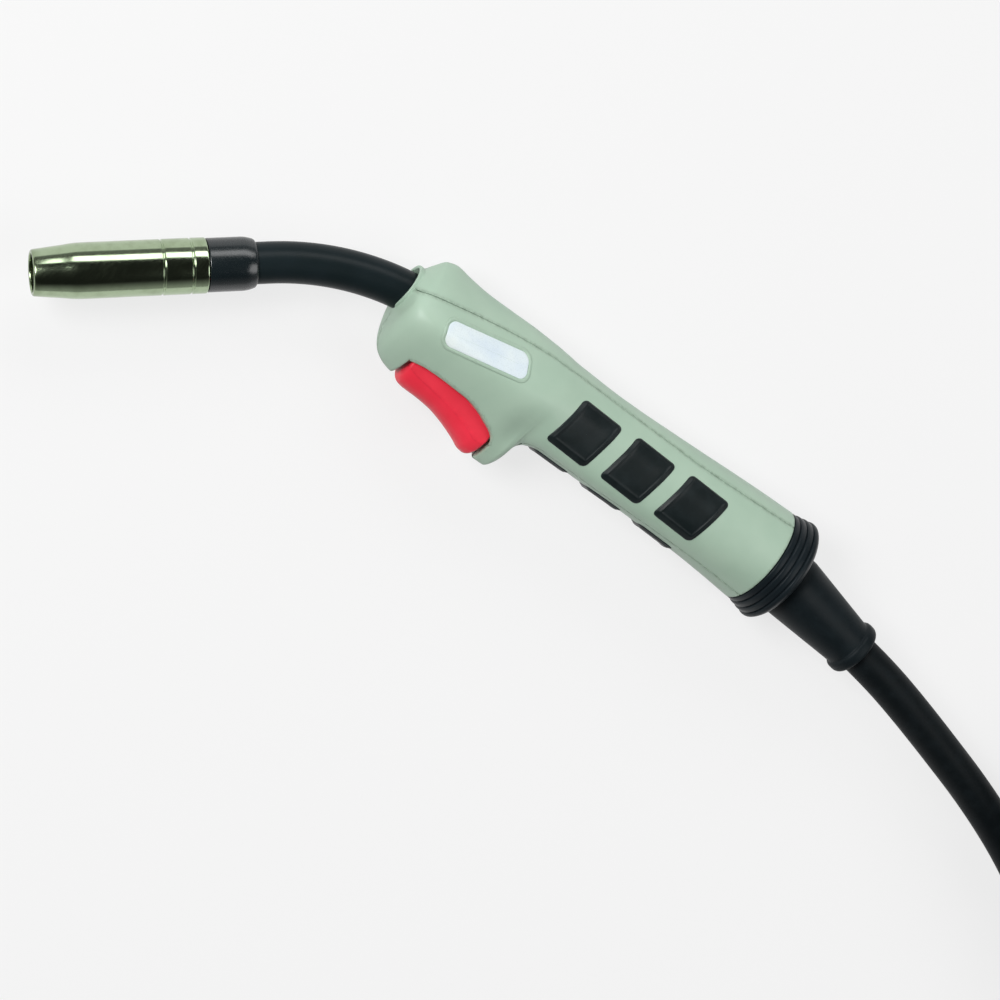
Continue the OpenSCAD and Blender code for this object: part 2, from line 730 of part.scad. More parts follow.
// ---- Head ----
seat_r = seat_d / 2;
flange_len = 3.4;
module head_sleeve() {
    r = sleeve_d / 2;
    color("#262d31") place() in_head() difference() {
        lathe([[0, sleeve_s], [r - 0.3, sleeve_s], [r, sleeve_s + 0.5], [r, sleeve_end - 3.6],
            [r - 0.5, sleeve_end - 1.8], [r - 1.3, sleeve_end - 0.5], [r - 2, sleeve_end],
            [0, sleeve_end]]);
        bar(sleeve_s - 1, sleeve_s + 4.4, seat_r + seat_gap);
        bar(sleeve_s, sleeve_end + 1, jacket_d / 2 + seat_gap);
    }
}
module nozzle_insulator() {
    color("#6b4a35") place() in_head() difference() {
        bar(insulator_s, sleeve_s + flange_len, seat_r);
        difference() {
            bar(insulator_s + 5, insulator_s + 8.2, seat_r + 1);
            bar(insulator_s, insulator_s + 9, seat_r - 0.8);
        }
        bar(insulator_s - 1, sleeve_s + flange_len + 1, tube_d / 2 + seat_gap);
    }
}
module nozzle_spring() {
    color("#b8bcbe") place() in_head()
        pipe(insulator_s + 5.2, insulator_s + 8, seat_r, seat_r - 0.75);
}
module gas_diffuser() {
    r = seat_r - 0.9;
    color("#c49a52") place() in_head() difference() {
        pipe(tip_end + 4, insulator_s, r, holder_d / 2 + seat_gap);
        for (a = [0:45:315]) rotate([a, 0, 0]) translate([(tip_end + 4 + insulator_s) / 2, 0, 0])
            cylinder(h = 12, r = 1, $fn = 24);
    }
}
module tip_holder() {
    thread_r = 3 + seat_gap;
    bore = 2 + seat_gap;
    step = tube_s - 2;
    rear = tube_s - 0.1;
    color("#c9a24f") place() in_head() lathe([
        [thread_r, tip_end], [holder_d / 2, tip_end], [holder_d / 2, step], [tube_d / 2, step],
        [tube_d / 2, rear], [bore, rear], [bore, tip_end + 8.6], [thread_r, tip_end + 8.6]]);
}
module contact_tip() {
    r = tip_d / 2;
    color("#b5693a") place() in_head() difference() {
        lathe([[0, tip_recess], [1.8, tip_recess], [2.4, tip_recess + 0.6], [r, tip_recess + 5],
            [r, tip_end - 0.1], [3, tip_end - 0.1], [3, tip_end + 8.4], [0, tip_end + 8.4]]);
        bar(tip_recess - 1, tip_end + 10, wire_bore / 2);
    }
}
module nozzle() {
    r = nozzle_d / 2;
    throat = 12;
    groove = 0.35;
    color("#b9b79f") place() in_head() lathe([
        [mouth_bore / 2, 0.3], [mouth_bore / 2 + 0.4, 0], [mouth_d / 2 - 0.4, 0], [mouth_d / 2, 0.4],
        [mouth_d / 2 + 0.6, 5.4], [r - 0.7, 10.6], [r - 0.15, 14.6], [r, 18],
        [r, nozzle_len - 16.6], [r - groove, nozzle_len - 16.4], [r - groove, nozzle_len - 16],
        [r, nozzle_len - 15.8], [r, nozzle_len - 6], [r - groove, nozzle_len - 5.8],
        [r - groove, nozzle_len - 5.4], [r, nozzle_len - 5.2], [r, nozzle_len - 0.4],
        [r - 0.4, nozzle_len], [seat_r + slide_fit + 0.2, nozzle_len],
        [seat_r + slide_fit, nozzle_len - 0.3], [seat_r + slide_fit, throat],
        [mouth_bore / 2, throat - 4]]);
}

// ---- Cable ----
function ease(t) = let (c = max(0, min(1, t))) c * c * (3 - 2 * c);
function hank_height(turn, climbed) = cable_d / 2 + turn_pitch * (turn + ease(climbed / climb_len));
function hank_fold(x, start, turn, climbed, climbs) = [for (a = [0:fold_step:180 - fold_step])
    [x + fold_r * cos(start + a), hank_mid + fold_r * sin(start + a),
        hank_height(turn, climbed + climbs * PI * fold_r * a / 180)]];
function hank_turn(n) = concat(
    [for (j = [0:run_steps - 1]) [hank_x + hank_run * j / run_steps, hank_y, hank_height(n, 0)]],
    hank_fold(hank_x + hank_run, -90, n, 0, 0),
    [for (j = [0:run_steps - 1]) let (left = hank_run * (1 - j / run_steps))
        [hank_x + left, hank_mid + fold_r, hank_height(n, climb_run - left)]],
    hank_fold(hank_x, 90, n, climb_run, 1));
hank_top = cable_d / 2 + turn_pitch * hank_turns;
plug_z = hank_top - turn_pitch + cable_d / 2 + nut_d / 2 + part_gap;
rise_points = [for (j = [0:rise_steps]) let (t = j / rise_steps)
    [hank_x + rest_run + rise_len * t, hank_y, hank_top + (plug_z - hank_top) * ease(t)]];
hank_start = [hank_x + 30, hank_y, cable_d / 2];
coil_points = concat([hank_start],
    [for (p = hank_turn(0)) if (p[1] > hank_y + 0.01 || p[0] > hank_start[0] + 1) p],
    [for (n = [1:hank_turns - 1]) each hank_turn(n)],
    [[hank_x, hank_y, hank_top], [hank_x + rest_run / 2, hank_y, hank_top]], rise_points,
    [[hank_x + rest_run + rise_len + tail_run, hank_y, plug_z]]);
front_points = concat([support_end, support_end + 9 * support_dir], cable_route,
    [hank_start - [12, 0, 0], hank_start]);
function path_length(p) = len(p) < 2 ? 0 : sum([for (i = [1:len(p) - 1]) norm(p[i] - p[i - 1])]);
function sum(v, i = 0) = i < len(v) ? v[i] + sum(v, i + 1) : 0;
// Least distance between turns, from every ring to those at least half a turn away
cable_points = concat(front_points, coil_points);
self_gap = min([for (i = [0:len(cable_points) - 18]) for (j = [i + 17:len(cable_points) - 1])
    norm(cable_points[i] - cable_points[j])]) - cable_d;
echo(coil_self_gap = self_gap, cable_length = path_length(front_points) + path_length(coil_points));

module cable_front() {
    color("#20272b") on_bench() sweep_tube(front_points, cable_d / 2, 12);
}
module cable_coil() {
    color("#20272b") on_bench() sweep_tube(coil_points, cable_d / 2, 6, 30);
}

// ---- Connector ----
boot_end = 46;
shank_r = centre_pin_d / 2 + 0.8;
flange_r = plug_d / 2 + 1.2;
lip_s = housing_end - 18;
module plug_boot() {
    tip_r = cable_d / 2 + 2.4;
    color("#1b2124") on_bench() in_plug() difference() {
        lathe([[0, 0], [tip_r, 0], [tip_r + 0.8, 0.8], [tip_r + 0.8, 4.4], [tip_r, 5.2], [tip_r, 6.4],
            [plug_d / 2 - plug_wall - 0.1, housing_s - 0.2], [plug_d / 2 - plug_wall - 0.1, boot_end],
            [0, boot_end]]);
        bar(-1, boot_end + 1, cable_d / 2 + seat_gap);
    }
}
module plug_cable() {
    color("#2a2f31") on_bench() in_plug() {
        bar(-tail_len, boot_end + 4, cable_d / 2);
        bar(boot_end + 4, face_s - 6, 5.4);
    }
}
module plug_housing() {
    r = plug_d / 2;
    color("#2f3537") on_bench() in_plug() difference() {
        lathe([[0, housing_s], [r - 1.4, housing_s], [r - 0.4, housing_s + 1], [r, housing_s + 3],
            [r, housing_end - 4], [flange_r, housing_end - 4], [flange_r, housing_end],
            [0, housing_end]]);
        bar(housing_s - 1, housing_end + 1, r - plug_wall);
        for (side = [-1, 1]) scale([1, 1, side]) {
            translate([housing_s + 7, 0, r - plug_wall - 1]) cylinder(h = 6, r = 1.5 + seat_gap);
            translate([housing_s + 7, 0, r - 1.6]) cylinder(h = 4, r = 2.8);
        }
    }
}
module housing_screws() {
    r = plug_d / 2;
    color("#9a9fa1") on_bench() in_plug() for (side = [-1, 1]) scale([1, 1, side]) {
        translate([housing_s + 7, 0, r - plug_wall]) cylinder(h = 1.5, r = 1.5);
        translate([housing_s + 7, 0, r - 1.55]) cylinder(h = 1.3, r = 2.7);
    }
}
module union_nut() {
    grips = 16;
    color("#262b2e") on_bench() in_plug() difference() {
        bar(lip_s, housing_end + 14, nut_d / 2);
        bar(lip_s - 1, housing_end, plug_d / 2 + slide_fit);
        bar(housing_end - 4.3, housing_end + 15, flange_r + part_gap);
        for (i = [0:grips - 1]) rotate([(i + 0.5) * 360 / grips, 0, 0])
            translate([lip_s + 3, 0, nut_d / 2 + 0.9]) rotate([0, 90, 0])
            cylinder(h = 40, r = 2, $fn = 24);
    }
}
module plug_face() {
    color("#c9c4ad") on_bench() in_plug() difference() {
        union() {
            bar(face_s, face_end, plug_d / 2 - plug_wall - seat_gap);
            bar(housing_end + 0.02, face_end, plug_d / 2 - 1);
        }
        bar(face_s - 1, face_end + 1, shank_r + seat_gap);
        for (y = [-contact_offset, contact_offset]) translate([0, y, 0])
            bar(face_s - 1, face_end + 1, contact_d / 2 + slide_fit);
    }
}
module centre_plug() {
    tip = face_end + centre_pin_len;
    r = centre_pin_d / 2;
    groove = face_end + centre_pin_len - 7;
    color("#c9a24f") on_bench() in_plug() difference() {
        lathe([[0, face_s - 5.9], [8, face_s - 5.9], [8, face_s - 0.1], [shank_r, face_s - 0.1],
            [shank_r, face_end + 0.1], [r, face_end + 0.1], [r, groove],
            [r - 1.05, groove], [r - 1.05, groove + 1.8], [r, groove + 1.8], [r, tip - 0.6],
            [r - 0.6, tip], [0, tip]]);
        bar(face_s, tip + 1, 2.2);
    }
}
module gas_o_ring() {
    seal_r = 0.5;
    color("#111415") on_bench() in_plug() translate([face_end + centre_pin_len - 6.1, 0, 0])
        rotate([0, 90, 0]) rotate_extrude() translate([centre_pin_d / 2 - seal_r - 0.02, 0]) circle(seal_r, $fn = 24);
}
module contact_pin(side) {
    color("#c9a24f") on_bench() in_plug() translate([0, side * contact_offset, 0]) difference() {
        lathe([[0, face_s + contact_travel + 1], [contact_d / 2, face_s + contact_travel + 1],
            [contact_d / 2, face_end + 9.4], [contact_d / 2 - 0.6, face_end + 10], [0, face_end + 10]]);
    }
}
module contact_pin_a() { contact_pin(-1); }
module contact_pin_b() { contact_pin(1); }
module liner_nut() {
    start = face_end + centre_pin_len + 0.1;
    color("#c9a24f") on_bench() in_plug() difference() {
        translate([start, 0, 0]) rotate([0, 90, 0]) cylinder(h = 6, r = 4.4, $fn = 6);
        bar(start - 1, start + 7, 1.6);
    }
}

right_shell();
left_shell();
top_spine();
belly_strip();
right_pad_1();
right_pad_2();
right_pad_3();
left_pad_1();
left_pad_2();
left_pad_3();
belly_pad_1();
belly_pad_2();
belly_pad_3();
shell_screws();
rear_collar();
race_clip();
swivel_race();
inner_carrier();
trigger();
trigger_pin();
trigger_spring();
switch_body();
switch_plunger();
switch_leads();
neck_clamp();
neck_tube();
neck_jacket();
head_sleeve();
nozzle_insulator();
nozzle_spring();
gas_diffuser();
tip_holder();
contact_tip();
nozzle();
wire_liner();
inner_cable();
swivel_ball();
cable_support();
cable_core();
cable_front();
cable_coil();
plug_boot();
plug_cable();
plug_housing();
housing_screws();
union_nut();
plug_face();
centre_plug();
gas_o_ring();
contact_pin_a();
contact_pin_b();
liner_nut();
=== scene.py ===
"""MIG welding torch on a bench: the dressed model over its fixed CAD frame.

Shapes are drawn in torch millimetres and written out in metres: x runs along the grip towards the
cable, y towards the torch's back, z to its right side, with zero at the centre of the cable swivel.
"""

import logging
from dataclasses import dataclass, field
from enum import Enum
from typing import Callable, Iterable

import bmesh
import bpy
import numpy as np
from mathutils import Matrix, Vector


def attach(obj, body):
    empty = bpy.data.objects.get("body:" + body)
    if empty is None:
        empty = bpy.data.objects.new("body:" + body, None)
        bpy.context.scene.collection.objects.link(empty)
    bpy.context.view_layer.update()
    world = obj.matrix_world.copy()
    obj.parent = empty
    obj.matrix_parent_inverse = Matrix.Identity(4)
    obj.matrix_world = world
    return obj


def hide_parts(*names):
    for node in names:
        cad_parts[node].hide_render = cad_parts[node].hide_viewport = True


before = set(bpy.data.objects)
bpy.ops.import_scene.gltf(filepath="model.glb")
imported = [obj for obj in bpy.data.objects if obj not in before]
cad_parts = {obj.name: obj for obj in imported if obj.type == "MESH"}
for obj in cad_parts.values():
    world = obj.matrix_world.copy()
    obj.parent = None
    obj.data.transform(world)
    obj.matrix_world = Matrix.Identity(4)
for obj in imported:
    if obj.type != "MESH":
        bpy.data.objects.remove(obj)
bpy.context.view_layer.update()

Array = np.ndarray
Triple = tuple[float, float, float]
Colour = Triple
Layer = Callable[[Array, Array], Array]
log = logging.getLogger("torch")

# Height of the swivel's centre over the bench, and that centre in the part's frame.
AXIS_HEIGHT = 22.0
TORCH_ORIGIN = np.array([117.49082, 32.98749, AXIS_HEIGHT])
# Place of the handle's front face along x.
FRONT_X = -174.0
# Height and side of a line along x that every open skin of the handle surrounds.
CORE = (-5.0, 0.0)
# Width of the band beside an edge that is rubbed or dirty.
EDGE_BAND = 1.2
# Steps along x and in u over which the handle's slopes are measured.
STEP_X, STEP_U = 0.02, 0.002
# Points closer than this are welded into one, in metres.
WELD = 2e-6
UP = np.array([0.0, 0.0, 1.0])
# Carries a point or a direction over to the other side of the torch.
MIRROR = np.array([1.0, 1.0, -1.0])
# Rows of the rolled lip at a seam: distance outwards and drop under the surface.
SEAM_ROLL = np.array([(0.10, 0.01), (0.20, 0.05), (0.28, 0.16), (0.31, 0.36), (0.31, 1.5)])


# -------------------- numbers and curves
def to_metres(points: Array) -> Array:
    """Torch millimetres moved to the part's frame, in metres."""
    return (np.asarray(points, float) + TORCH_ORIGIN) / 1000.0


def linear(red: int, green: int, blue: int) -> Colour:
    """A colour as it looks on a screen, 0 to 255, turned into light values."""
    shown = np.array([red, green, blue]) / 255.0
    light = np.where(shown <= 0.04045, shown / 12.92, ((shown + 0.055) / 1.055) ** 2.4)
    return (float(light[0]), float(light[1]), float(light[2]))


def unit(vectors: Array) -> Array:
    """Vectors scaled to length one along their last axis."""
    return vectors / np.maximum(np.linalg.norm(vectors, axis=-1, keepdims=True), 1e-12)


def smooth_through(stations: Array, values: Array, at: Array) -> Array:
    """Monotone cubic curves through rows of values, which never overshoot a row.

    The slope at a row is the weighted harmonic mean of its neighbours' slopes, or zero at a peak.

    Args:
        stations: Increasing places of the rows, shape (n,).
        values: Values at the rows, shape (n, k).
        at: Places to read, of any shape.

    Returns:
        Values at those places, with the k curves on the last axis.
    """
    x, y = np.asarray(stations, float), np.asarray(values, float)
    gap = np.diff(x)[:, None]
    rise = np.diff(y, axis=0) / gap
    wide, late = 2 * gap[1:] + gap[:-1], gap[1:] + 2 * gap[:-1]
    with np.errstate(divide="ignore", invalid="ignore"):
        mean = (wide + late) / (wide / rise[:-1] + late / rise[1:])
    inner = np.where(rise[1:] * rise[:-1] > 0, mean, 0.0)
    slope = np.vstack([rise[:1], inner, rise[-1:]])
    place = np.asarray(at, float)
    i = np.clip(np.searchsorted(x, place, side="right") - 1, 0, len(x) - 2)
    t = ((place - x[i]) / gap[i, 0])[..., None]
    step = gap[i]
    return ((1 + 2 * t) * (1 - t) ** 2 * y[i] + t * (1 - t) ** 2 * step * slope[i]
            + t * t * (3 - 2 * t) * y[i + 1] + t * t * (t - 1) * step * slope[i + 1])


def steps(*stretches: tuple[float, float, int]) -> Array:
    """Places along stretches, evenly spread in each, with the last end added.

    Args:
        stretches: Where each stretch starts and ends, and how many places it holds.

    Returns:
        The places, in order.
    """
    parts = [np.linspace(a, b, n, endpoint=False) for a, b, n in stretches]
    return np.concatenate(parts + [np.array([stretches[-1][1]])])


def softened_loop(corners: list[Triple], points: int) -> Array:
    """A closed outline whose corners are rounded.

    Each corner becomes a quadratic arc that starts and ends at the rounding's distance from it,
    at most halfway to its neighbour. The first corner stays sharp.

    Args:
        corners: Place along the axis, radius and rounding of each corner.
        points: Points on each arc.

    Returns:
        Outline points, shape (n, 2).
    """
    data = np.array([corners[0], *corners, corners[0]], float)
    spot, fillet, halfway = data[:, :2], data[1:-1, 2], 0.49
    start, end = (spot[1:-1] + unit(way) * np.minimum(
        fillet, halfway * np.linalg.norm(way, axis=1))[:, None]
        for way in (spot[:-2] - spot[1:-1], spot[2:] - spot[1:-1]))
    t = np.linspace(0, 1, points)[None, :, None]
    arcs = ((1 - t) ** 2 * start[:, None] + 2 * t * (1 - t) * spot[1:-1, None]
            + t * t * end[:, None])
    return arcs.reshape(-1, 2)


def edge_rub(distance: Array) -> Array:
    """1 at an edge, falling to 0 across the rubbed band."""
    return np.clip(1 - distance / EDGE_BAND, 0, 1)


def tube(line: Array, side: Array, up: Array, radius: float, segments: int) -> Array:
    """A round tube along a centre line, closed at both ends.

    A ring's points are line + radius (cos t side + sin t up), with t once round the line.

    Args:
        line: Centre line, shape (n, 3).
        side: Directions square to the line, shape (n, 3).
        up: Directions square to both, shape (n, 3).
        radius: Radius of the tube.
        segments: Points on each ring.

    Returns:
        Grid of points, shape (n + 2, segments, 3); its first and last row lie on the line.
    """
    turn = np.linspace(0, 2 * np.pi, segments, endpoint=False)[None, :, None]
    rings = line[:, None] + radius * (np.cos(turn) * side[:, None] + np.sin(turn) * up[:, None])
    ends = line[[0, -1]][:, None] * np.ones((1, segments, 1))
    return np.concatenate([ends[:1], rings, ends[1:]])


@dataclass(frozen=True)
class Axis:
    """A straight axis in torch millimetres, with a heading in the bench's plane.

    Attributes:
        origin: Point where the axis starts.
        heading: Degrees from +x towards +y.
    """

    origin: Triple
    heading: float

    def directions(self) -> tuple[Array, Array, Array]:
        """The axis, its sideways and its upward direction."""
        a = np.radians(self.heading)
        return np.array([np.cos(a), np.sin(a), 0.0]), np.array([-np.sin(a), np.cos(a), 0.0]), UP

    def at(self, along: Array, radius: Array, turn: Array) -> Array:
        """Points round the axis.

        Args:
            along: Distances along the axis.
            radius: Distances from the axis.
            turn: Turns from its sideways direction, in radians.

        Returns:
            Points of the arguments' common shape, with (x, y, z) on the last axis.
        """
        ahead, side, up = self.directions()
        along, radius, turn = np.broadcast_arrays(along, radius, turn)
        return (np.array(self.origin) + along[..., None] * ahead
                + (radius * np.cos(turn))[..., None] * side
                + (radius * np.sin(turn))[..., None] * up)

    def turned(self, outline: Array, segments: int, ridge: Array | None) -> Array:
        """Surface of revolution: outline points (along, radius) carried round the axis.

        Args:
            outline: Outline points, shape (n, 2).
            segments: Steps round the axis.
            ridge: Radius added at each point and step, shape (n, segments), or none.

        Returns:
            Grid of points, shape (n, segments, 3).
        """
        turn = np.linspace(0, 2 * np.pi, segments, endpoint=False)
        radius = outline[:, 1:2] + (0 if ridge is None else ridge)
        return self.at(outline[:, :1], radius, turn[None, :])


# -------------------- meshes
class Mould:
    """Gathers grids of points into one welded mesh and makes the finished piece of it."""

    def __init__(self, name: str) -> None:
        """Starts an empty mould.

        Args:
            name: Name of the piece.
        """
        self.name = name
        self.points: list[Array] = []
        self.faces: list[Array] = []
        self.rub: list[Array] = []
        self.count = 0

    def net(self, grid: Array, wrap_rows: bool = False, wrap_columns: bool = False,
            keep: Array | None = None, rub: Array | float = 0.0) -> "Mould":
        """Adds a grid of points as four-cornered faces.

        Args:
            grid: Points, shape (rows, columns, 3), in torch millimetres.
            wrap_rows: Whether the last row joins the first.
            wrap_columns: Whether the last column joins the first.
            keep: Which cells are filled, shape (rows - 1, columns - 1).
            rub: How near a point is to a rubbed or dirty edge, 0 to 1.

        Returns:
            The mould itself.
        """
        rows, columns = grid.shape[:2]
        index = np.arange(rows * columns).reshape(rows, columns) + self.count
        if wrap_rows:
            index = np.vstack([index, index[:1]])
        if wrap_columns:
            index = np.hstack([index, index[:, :1]])
        cells = np.stack([index[:-1, :-1], index[1:, :-1], index[1:, 1:], index[:-1, 1:]], axis=-1)
        cells = cells.reshape(-1, 4) if keep is None else cells[keep]
        self.points.append(grid.reshape(-1, 3))
        self.faces.append(cells)
        self.rub.append(np.broadcast_to(rub, (rows, columns)).reshape(-1).astype(float))
        self.count += rows * columns
        return self

    def solid(self, axis: Axis, outline: Array, segments: int,
              ridge: Array | None = None, rub: Array | float = 0.0) -> "Mould":
        """Adds a closed solid of revolution.

        Args:
            axis: Its axis.
            outline: Closed loop of points (along, radius), shape (n, 2).
            segments: Steps round the axis.
            ridge: Radius added at each point and step, shape (n, segments).
            rub: How near a point is to a rubbed or dirty edge, 0 to 1.

        Returns:
            The mould itself.
        """
        return self.net(axis.turned(outline, segments, ridge), wrap_rows=True,
                        wrap_columns=True, rub=rub)

    def lip(self, edge: Array, outwards: Array, normals: Array) -> None:
        """Adds a rolled lip along an edge: it runs on outwards while it drops under the surface.

        Args:
            edge: Points of the edge, shape (n, 3).
            outwards: Directions that carry the surface on past its edge, shape (n, 3).
            normals: Outward normals of the surface there, shape (n, 3).
        """
        out, drop = np.vstack([[0.0, 0.0], SEAM_ROLL]).T[..., None, None]
        self.net(edge + out * outwards - drop * normals, rub=1.0)

    def piece(self, finish: "Finish", body: str, slot: str,
              replaces: tuple[str, ...] = (), crease: float = 40.0,
              core: tuple[float, float] | None = None) -> bpy.types.Object:
        """Args:
            finish: Finish of the piece.
            body: CAD body that it rides on.
            slot: Material slot of the record; not used.
            replaces: CAD nodes that it stands for.
            crease: Angle in degrees past which an edge is sharp.
            core: Height and side (y, z) of a line along x that an open shell surrounds.

        Returns:
            The finished object.
        """
        mesh = bpy.data.meshes.new(self.name)
        places = to_metres(np.vstack(self.points))
        mesh.from_pydata(places, [], np.vstack(self.faces))
        rub = mesh.attributes.new("rub", "FLOAT", "POINT")
        rub.data.foreach_set("value", np.concatenate(self.rub))
        work = bmesh.new()
        work.from_mesh(mesh)
        bmesh.ops.remove_doubles(work, verts=work.verts, dist=WELD)
        bmesh.ops.recalc_face_normals(work, faces=work.faces)
        work.to_mesh(mesh)
        work.free()
        if core is not None and self._inward(mesh, core):
            mesh.flip_normals()
        mesh.polygons.foreach_set("use_smooth", np.ones(len(mesh.polygons), bool))
        mesh.set_sharp_from_angle(angle=float(np.radians(crease)))
        mesh.materials.append(finish.material())
        made = bpy.data.objects.new(self.name, mesh)
        bpy.context.scene.collection.objects.link(made)
        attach(made, body)
        if replaces:
            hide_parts(*replaces)
        log.info("%s: %d faces on %s", self.name, len(mesh.polygons), body)
        return made

    @staticmethod
    def _inward(mesh: bpy.types.Mesh, core: tuple[float, float]) -> bool:
        """Whether most of the surface faces a line along x.

        Args:
            mesh: The welded mesh.
            core: Height and side (y, z) of the line.

        Returns:
            True where the faces have to be turned over.
        """
        count = len(mesh.polygons)
        normal, centre, area = np.empty(count * 3), np.empty(count * 3), np.empty(count)
        mesh.polygons.foreach_get("normal", normal)
        mesh.polygons.foreach_get("center", centre)
        mesh.polygons.foreach_get("area", area)
        line = to_metres(np.array([0.0, core[0], core[1]]))
        away = centre.reshape(-1, 3) - line
        away[:, 0] = 0.0
        return float((area * (normal.reshape(-1, 3) * away).sum(1)).sum()) < 0


def rounded_rings(half_long: float, half_high: float, corner: float, insets: Array,
                  arc: int, straight: int) -> Array:
    """Rings inside a rounded rectangle, each a given distance in from its edge.

    A ring is four corner arcs joined by straight runs. Its corner radius is the corner's less
    0.8 of the inset, at least 0.35 mm and at most nearly half the ring's shorter side.

    Args:
        half_long: Half the rectangle's length.
        half_high: Half its height.
        corner: Radius of its corners.
        insets: Distance of each ring from the edge.
        arc: Points on each corner.
        straight: Points on each side between the corners.

    Returns:
        Ring points, shape (rings, points, 2).
    """
    inset = np.asarray(insets, float)[:, None, None]
    long, high = half_long - inset, half_high - inset
    radius = np.minimum(np.maximum(corner - 0.8 * inset, 0.35), np.minimum(long, high) * 0.98)
    quarter = np.arange(4)[None, :, None]
    angle = np.radians(90.0 * quarter + np.linspace(0, 90, arc)[None, None, :])
    sign_long = np.array([1, -1, -1, 1])[None, :, None]
    sign_high = np.array([1, 1, -1, -1])[None, :, None]
    arcs = np.stack([sign_long * (long - radius) + radius * np.cos(angle),
                     sign_high * (high - radius) + radius * np.sin(angle)], axis=-1)
    run = np.linspace(0, 1, straight + 2)[1:-1][None, None, :, None]
    sides = arcs[:, :, -1:] * (1 - run) + np.roll(arcs[:, :, :1], -1, axis=1) * run
    return np.concatenate([arcs, sides], axis=2).reshape(len(insets), -1, 2)


# -------------------- finishes
class Flow:
    """The output of a shader node, which takes part in sums as a number does."""

    def __init__(self, desk: "NodeDesk", socket: bpy.types.NodeSocket | None) -> None:
        """Wraps a socket of the desk's material; an output node has none."""
        self.desk = desk
        self.socket = socket

    def _sum(self, operation: str, first: "Flow | float", second: "Flow | float") -> "Flow":
        """A Math node on two values."""
        return self.desk.node("ShaderNodeMath", {"operation": operation}, {0: first, 1: second})

    def __add__(self, other: "Flow | float") -> "Flow":
        """Sum of two values."""
        return self._sum("ADD", self, other)

    def __mul__(self, other: "Flow | float") -> "Flow":
        """Product of two values."""
        return self._sum("MULTIPLY", self, other)

    def __rsub__(self, other: "Flow | float") -> "Flow":
        """What is left of another value when this one is taken away."""
        return self._sum("SUBTRACT", other, self)

    def band(self, low: float, high: float, start: float = 0.0, end: float = 1.0) -> "Flow":
        """The value carried from low..high to start..end and held at the ends."""
        return self.desk.node("ShaderNodeMapRange", {"clamp": True},
                              {0: self, 1: low, 2: high, 3: start, 4: end})


class NodeDesk:
    """Lays out the nodes of one material or of the world."""

    def __init__(self, tree: bpy.types.NodeTree) -> None:
        """Starts on an empty node tree."""
        self.tree = tree
        tree.nodes.clear()

    def node(self, kind: str, settings: dict | None = None, sockets: dict | None = None,
             out: int | str = 0) -> Flow:
        """Adds a node.

        Args:
            kind: The node's type.
            settings: Properties, set first.
            sockets: Values or flows by the input's name or number.
            out: Output to hand back.

        Returns:
            That output as a flow.
        """
        made = self.tree.nodes.new(kind)
        for name, value in (settings or {}).items():
            setattr(made, name, value)
        for key, value in (sockets or {}).items():
            if isinstance(value, Flow):
                self.tree.links.new(value.socket, made.inputs[key])
            elif isinstance(value, tuple) and len(value) == 3 and made.inputs[key].type == "RGBA":
                made.inputs[key].default_value = (*value, 1.0)
            else:
                made.inputs[key].default_value = value
        return Flow(self, made.outputs[out] if len(made.outputs) else None)

    def place(self, turn: Triple = (0.0, 0.0, 0.0), stretch: Triple = (1.0, 1.0, 1.0)) -> Flow:
        """The object's own coordinates, stretched and then turned.

        Args:
            turn: Turns about x, y and z in degrees.
            stretch: Factors along x, y and z.

        Returns:
            The coordinates as a flow.
        """
        own = self.node("ShaderNodeTexCoord", out="Object")
        angles = tuple(float(a) for a in np.radians(turn))
        return self.node("ShaderNodeMapping", None, {0: own, 2: angles, 3: stretch})

    def speckle(self, where: Flow, grain_mm: float, detail: float, rough: float = 0.5) -> Flow:
        """Noise whose features are about grain_mm across; its places are in metres."""
        return self.node("ShaderNodeTexNoise", None,
                         {0: where, 2: 1000.0 / grain_mm, 3: detail, 4: rough})

    def blend(self, amount: "Flow | float", first: "Flow | Colour",
              second: "Flow | Colour") -> Flow:
        """Colours mixed by an amount."""
        return self.node("ShaderNodeMix", {"data_type": "RGBA"},
                         {0: amount, 6: first, 7: second}, out=2)

    def relief(self, height: Flow, depth_mm: float) -> Flow:
        """A bump of that depth."""
        return self.node("ShaderNodeBump", None,
                         {"Strength": 1.0, "Distance": depth_mm / 1000.0, "Height": height})

    def rub(self) -> Flow:
        """How near a point is to an edge that collects rubbing or dirt."""
        return self.node("ShaderNodeAttribute", {"attribute_name": "rub"}, out="Fac")

    def surface(self, sockets: dict) -> None:
        """Ends the tree in a Principled surface with those sockets."""
        shader = self.node("ShaderNodeBsdfPrincipled", None, sockets)
        self.node("ShaderNodeOutputMaterial", None, {"Surface": shader})


def new_desk(name: str) -> tuple[bpy.types.Material, NodeDesk]:
    """A new material and the desk for its nodes."""
    material = bpy.data.materials.new(name)
    material.use_nodes = True
    return material, NodeDesk(material.node_tree)


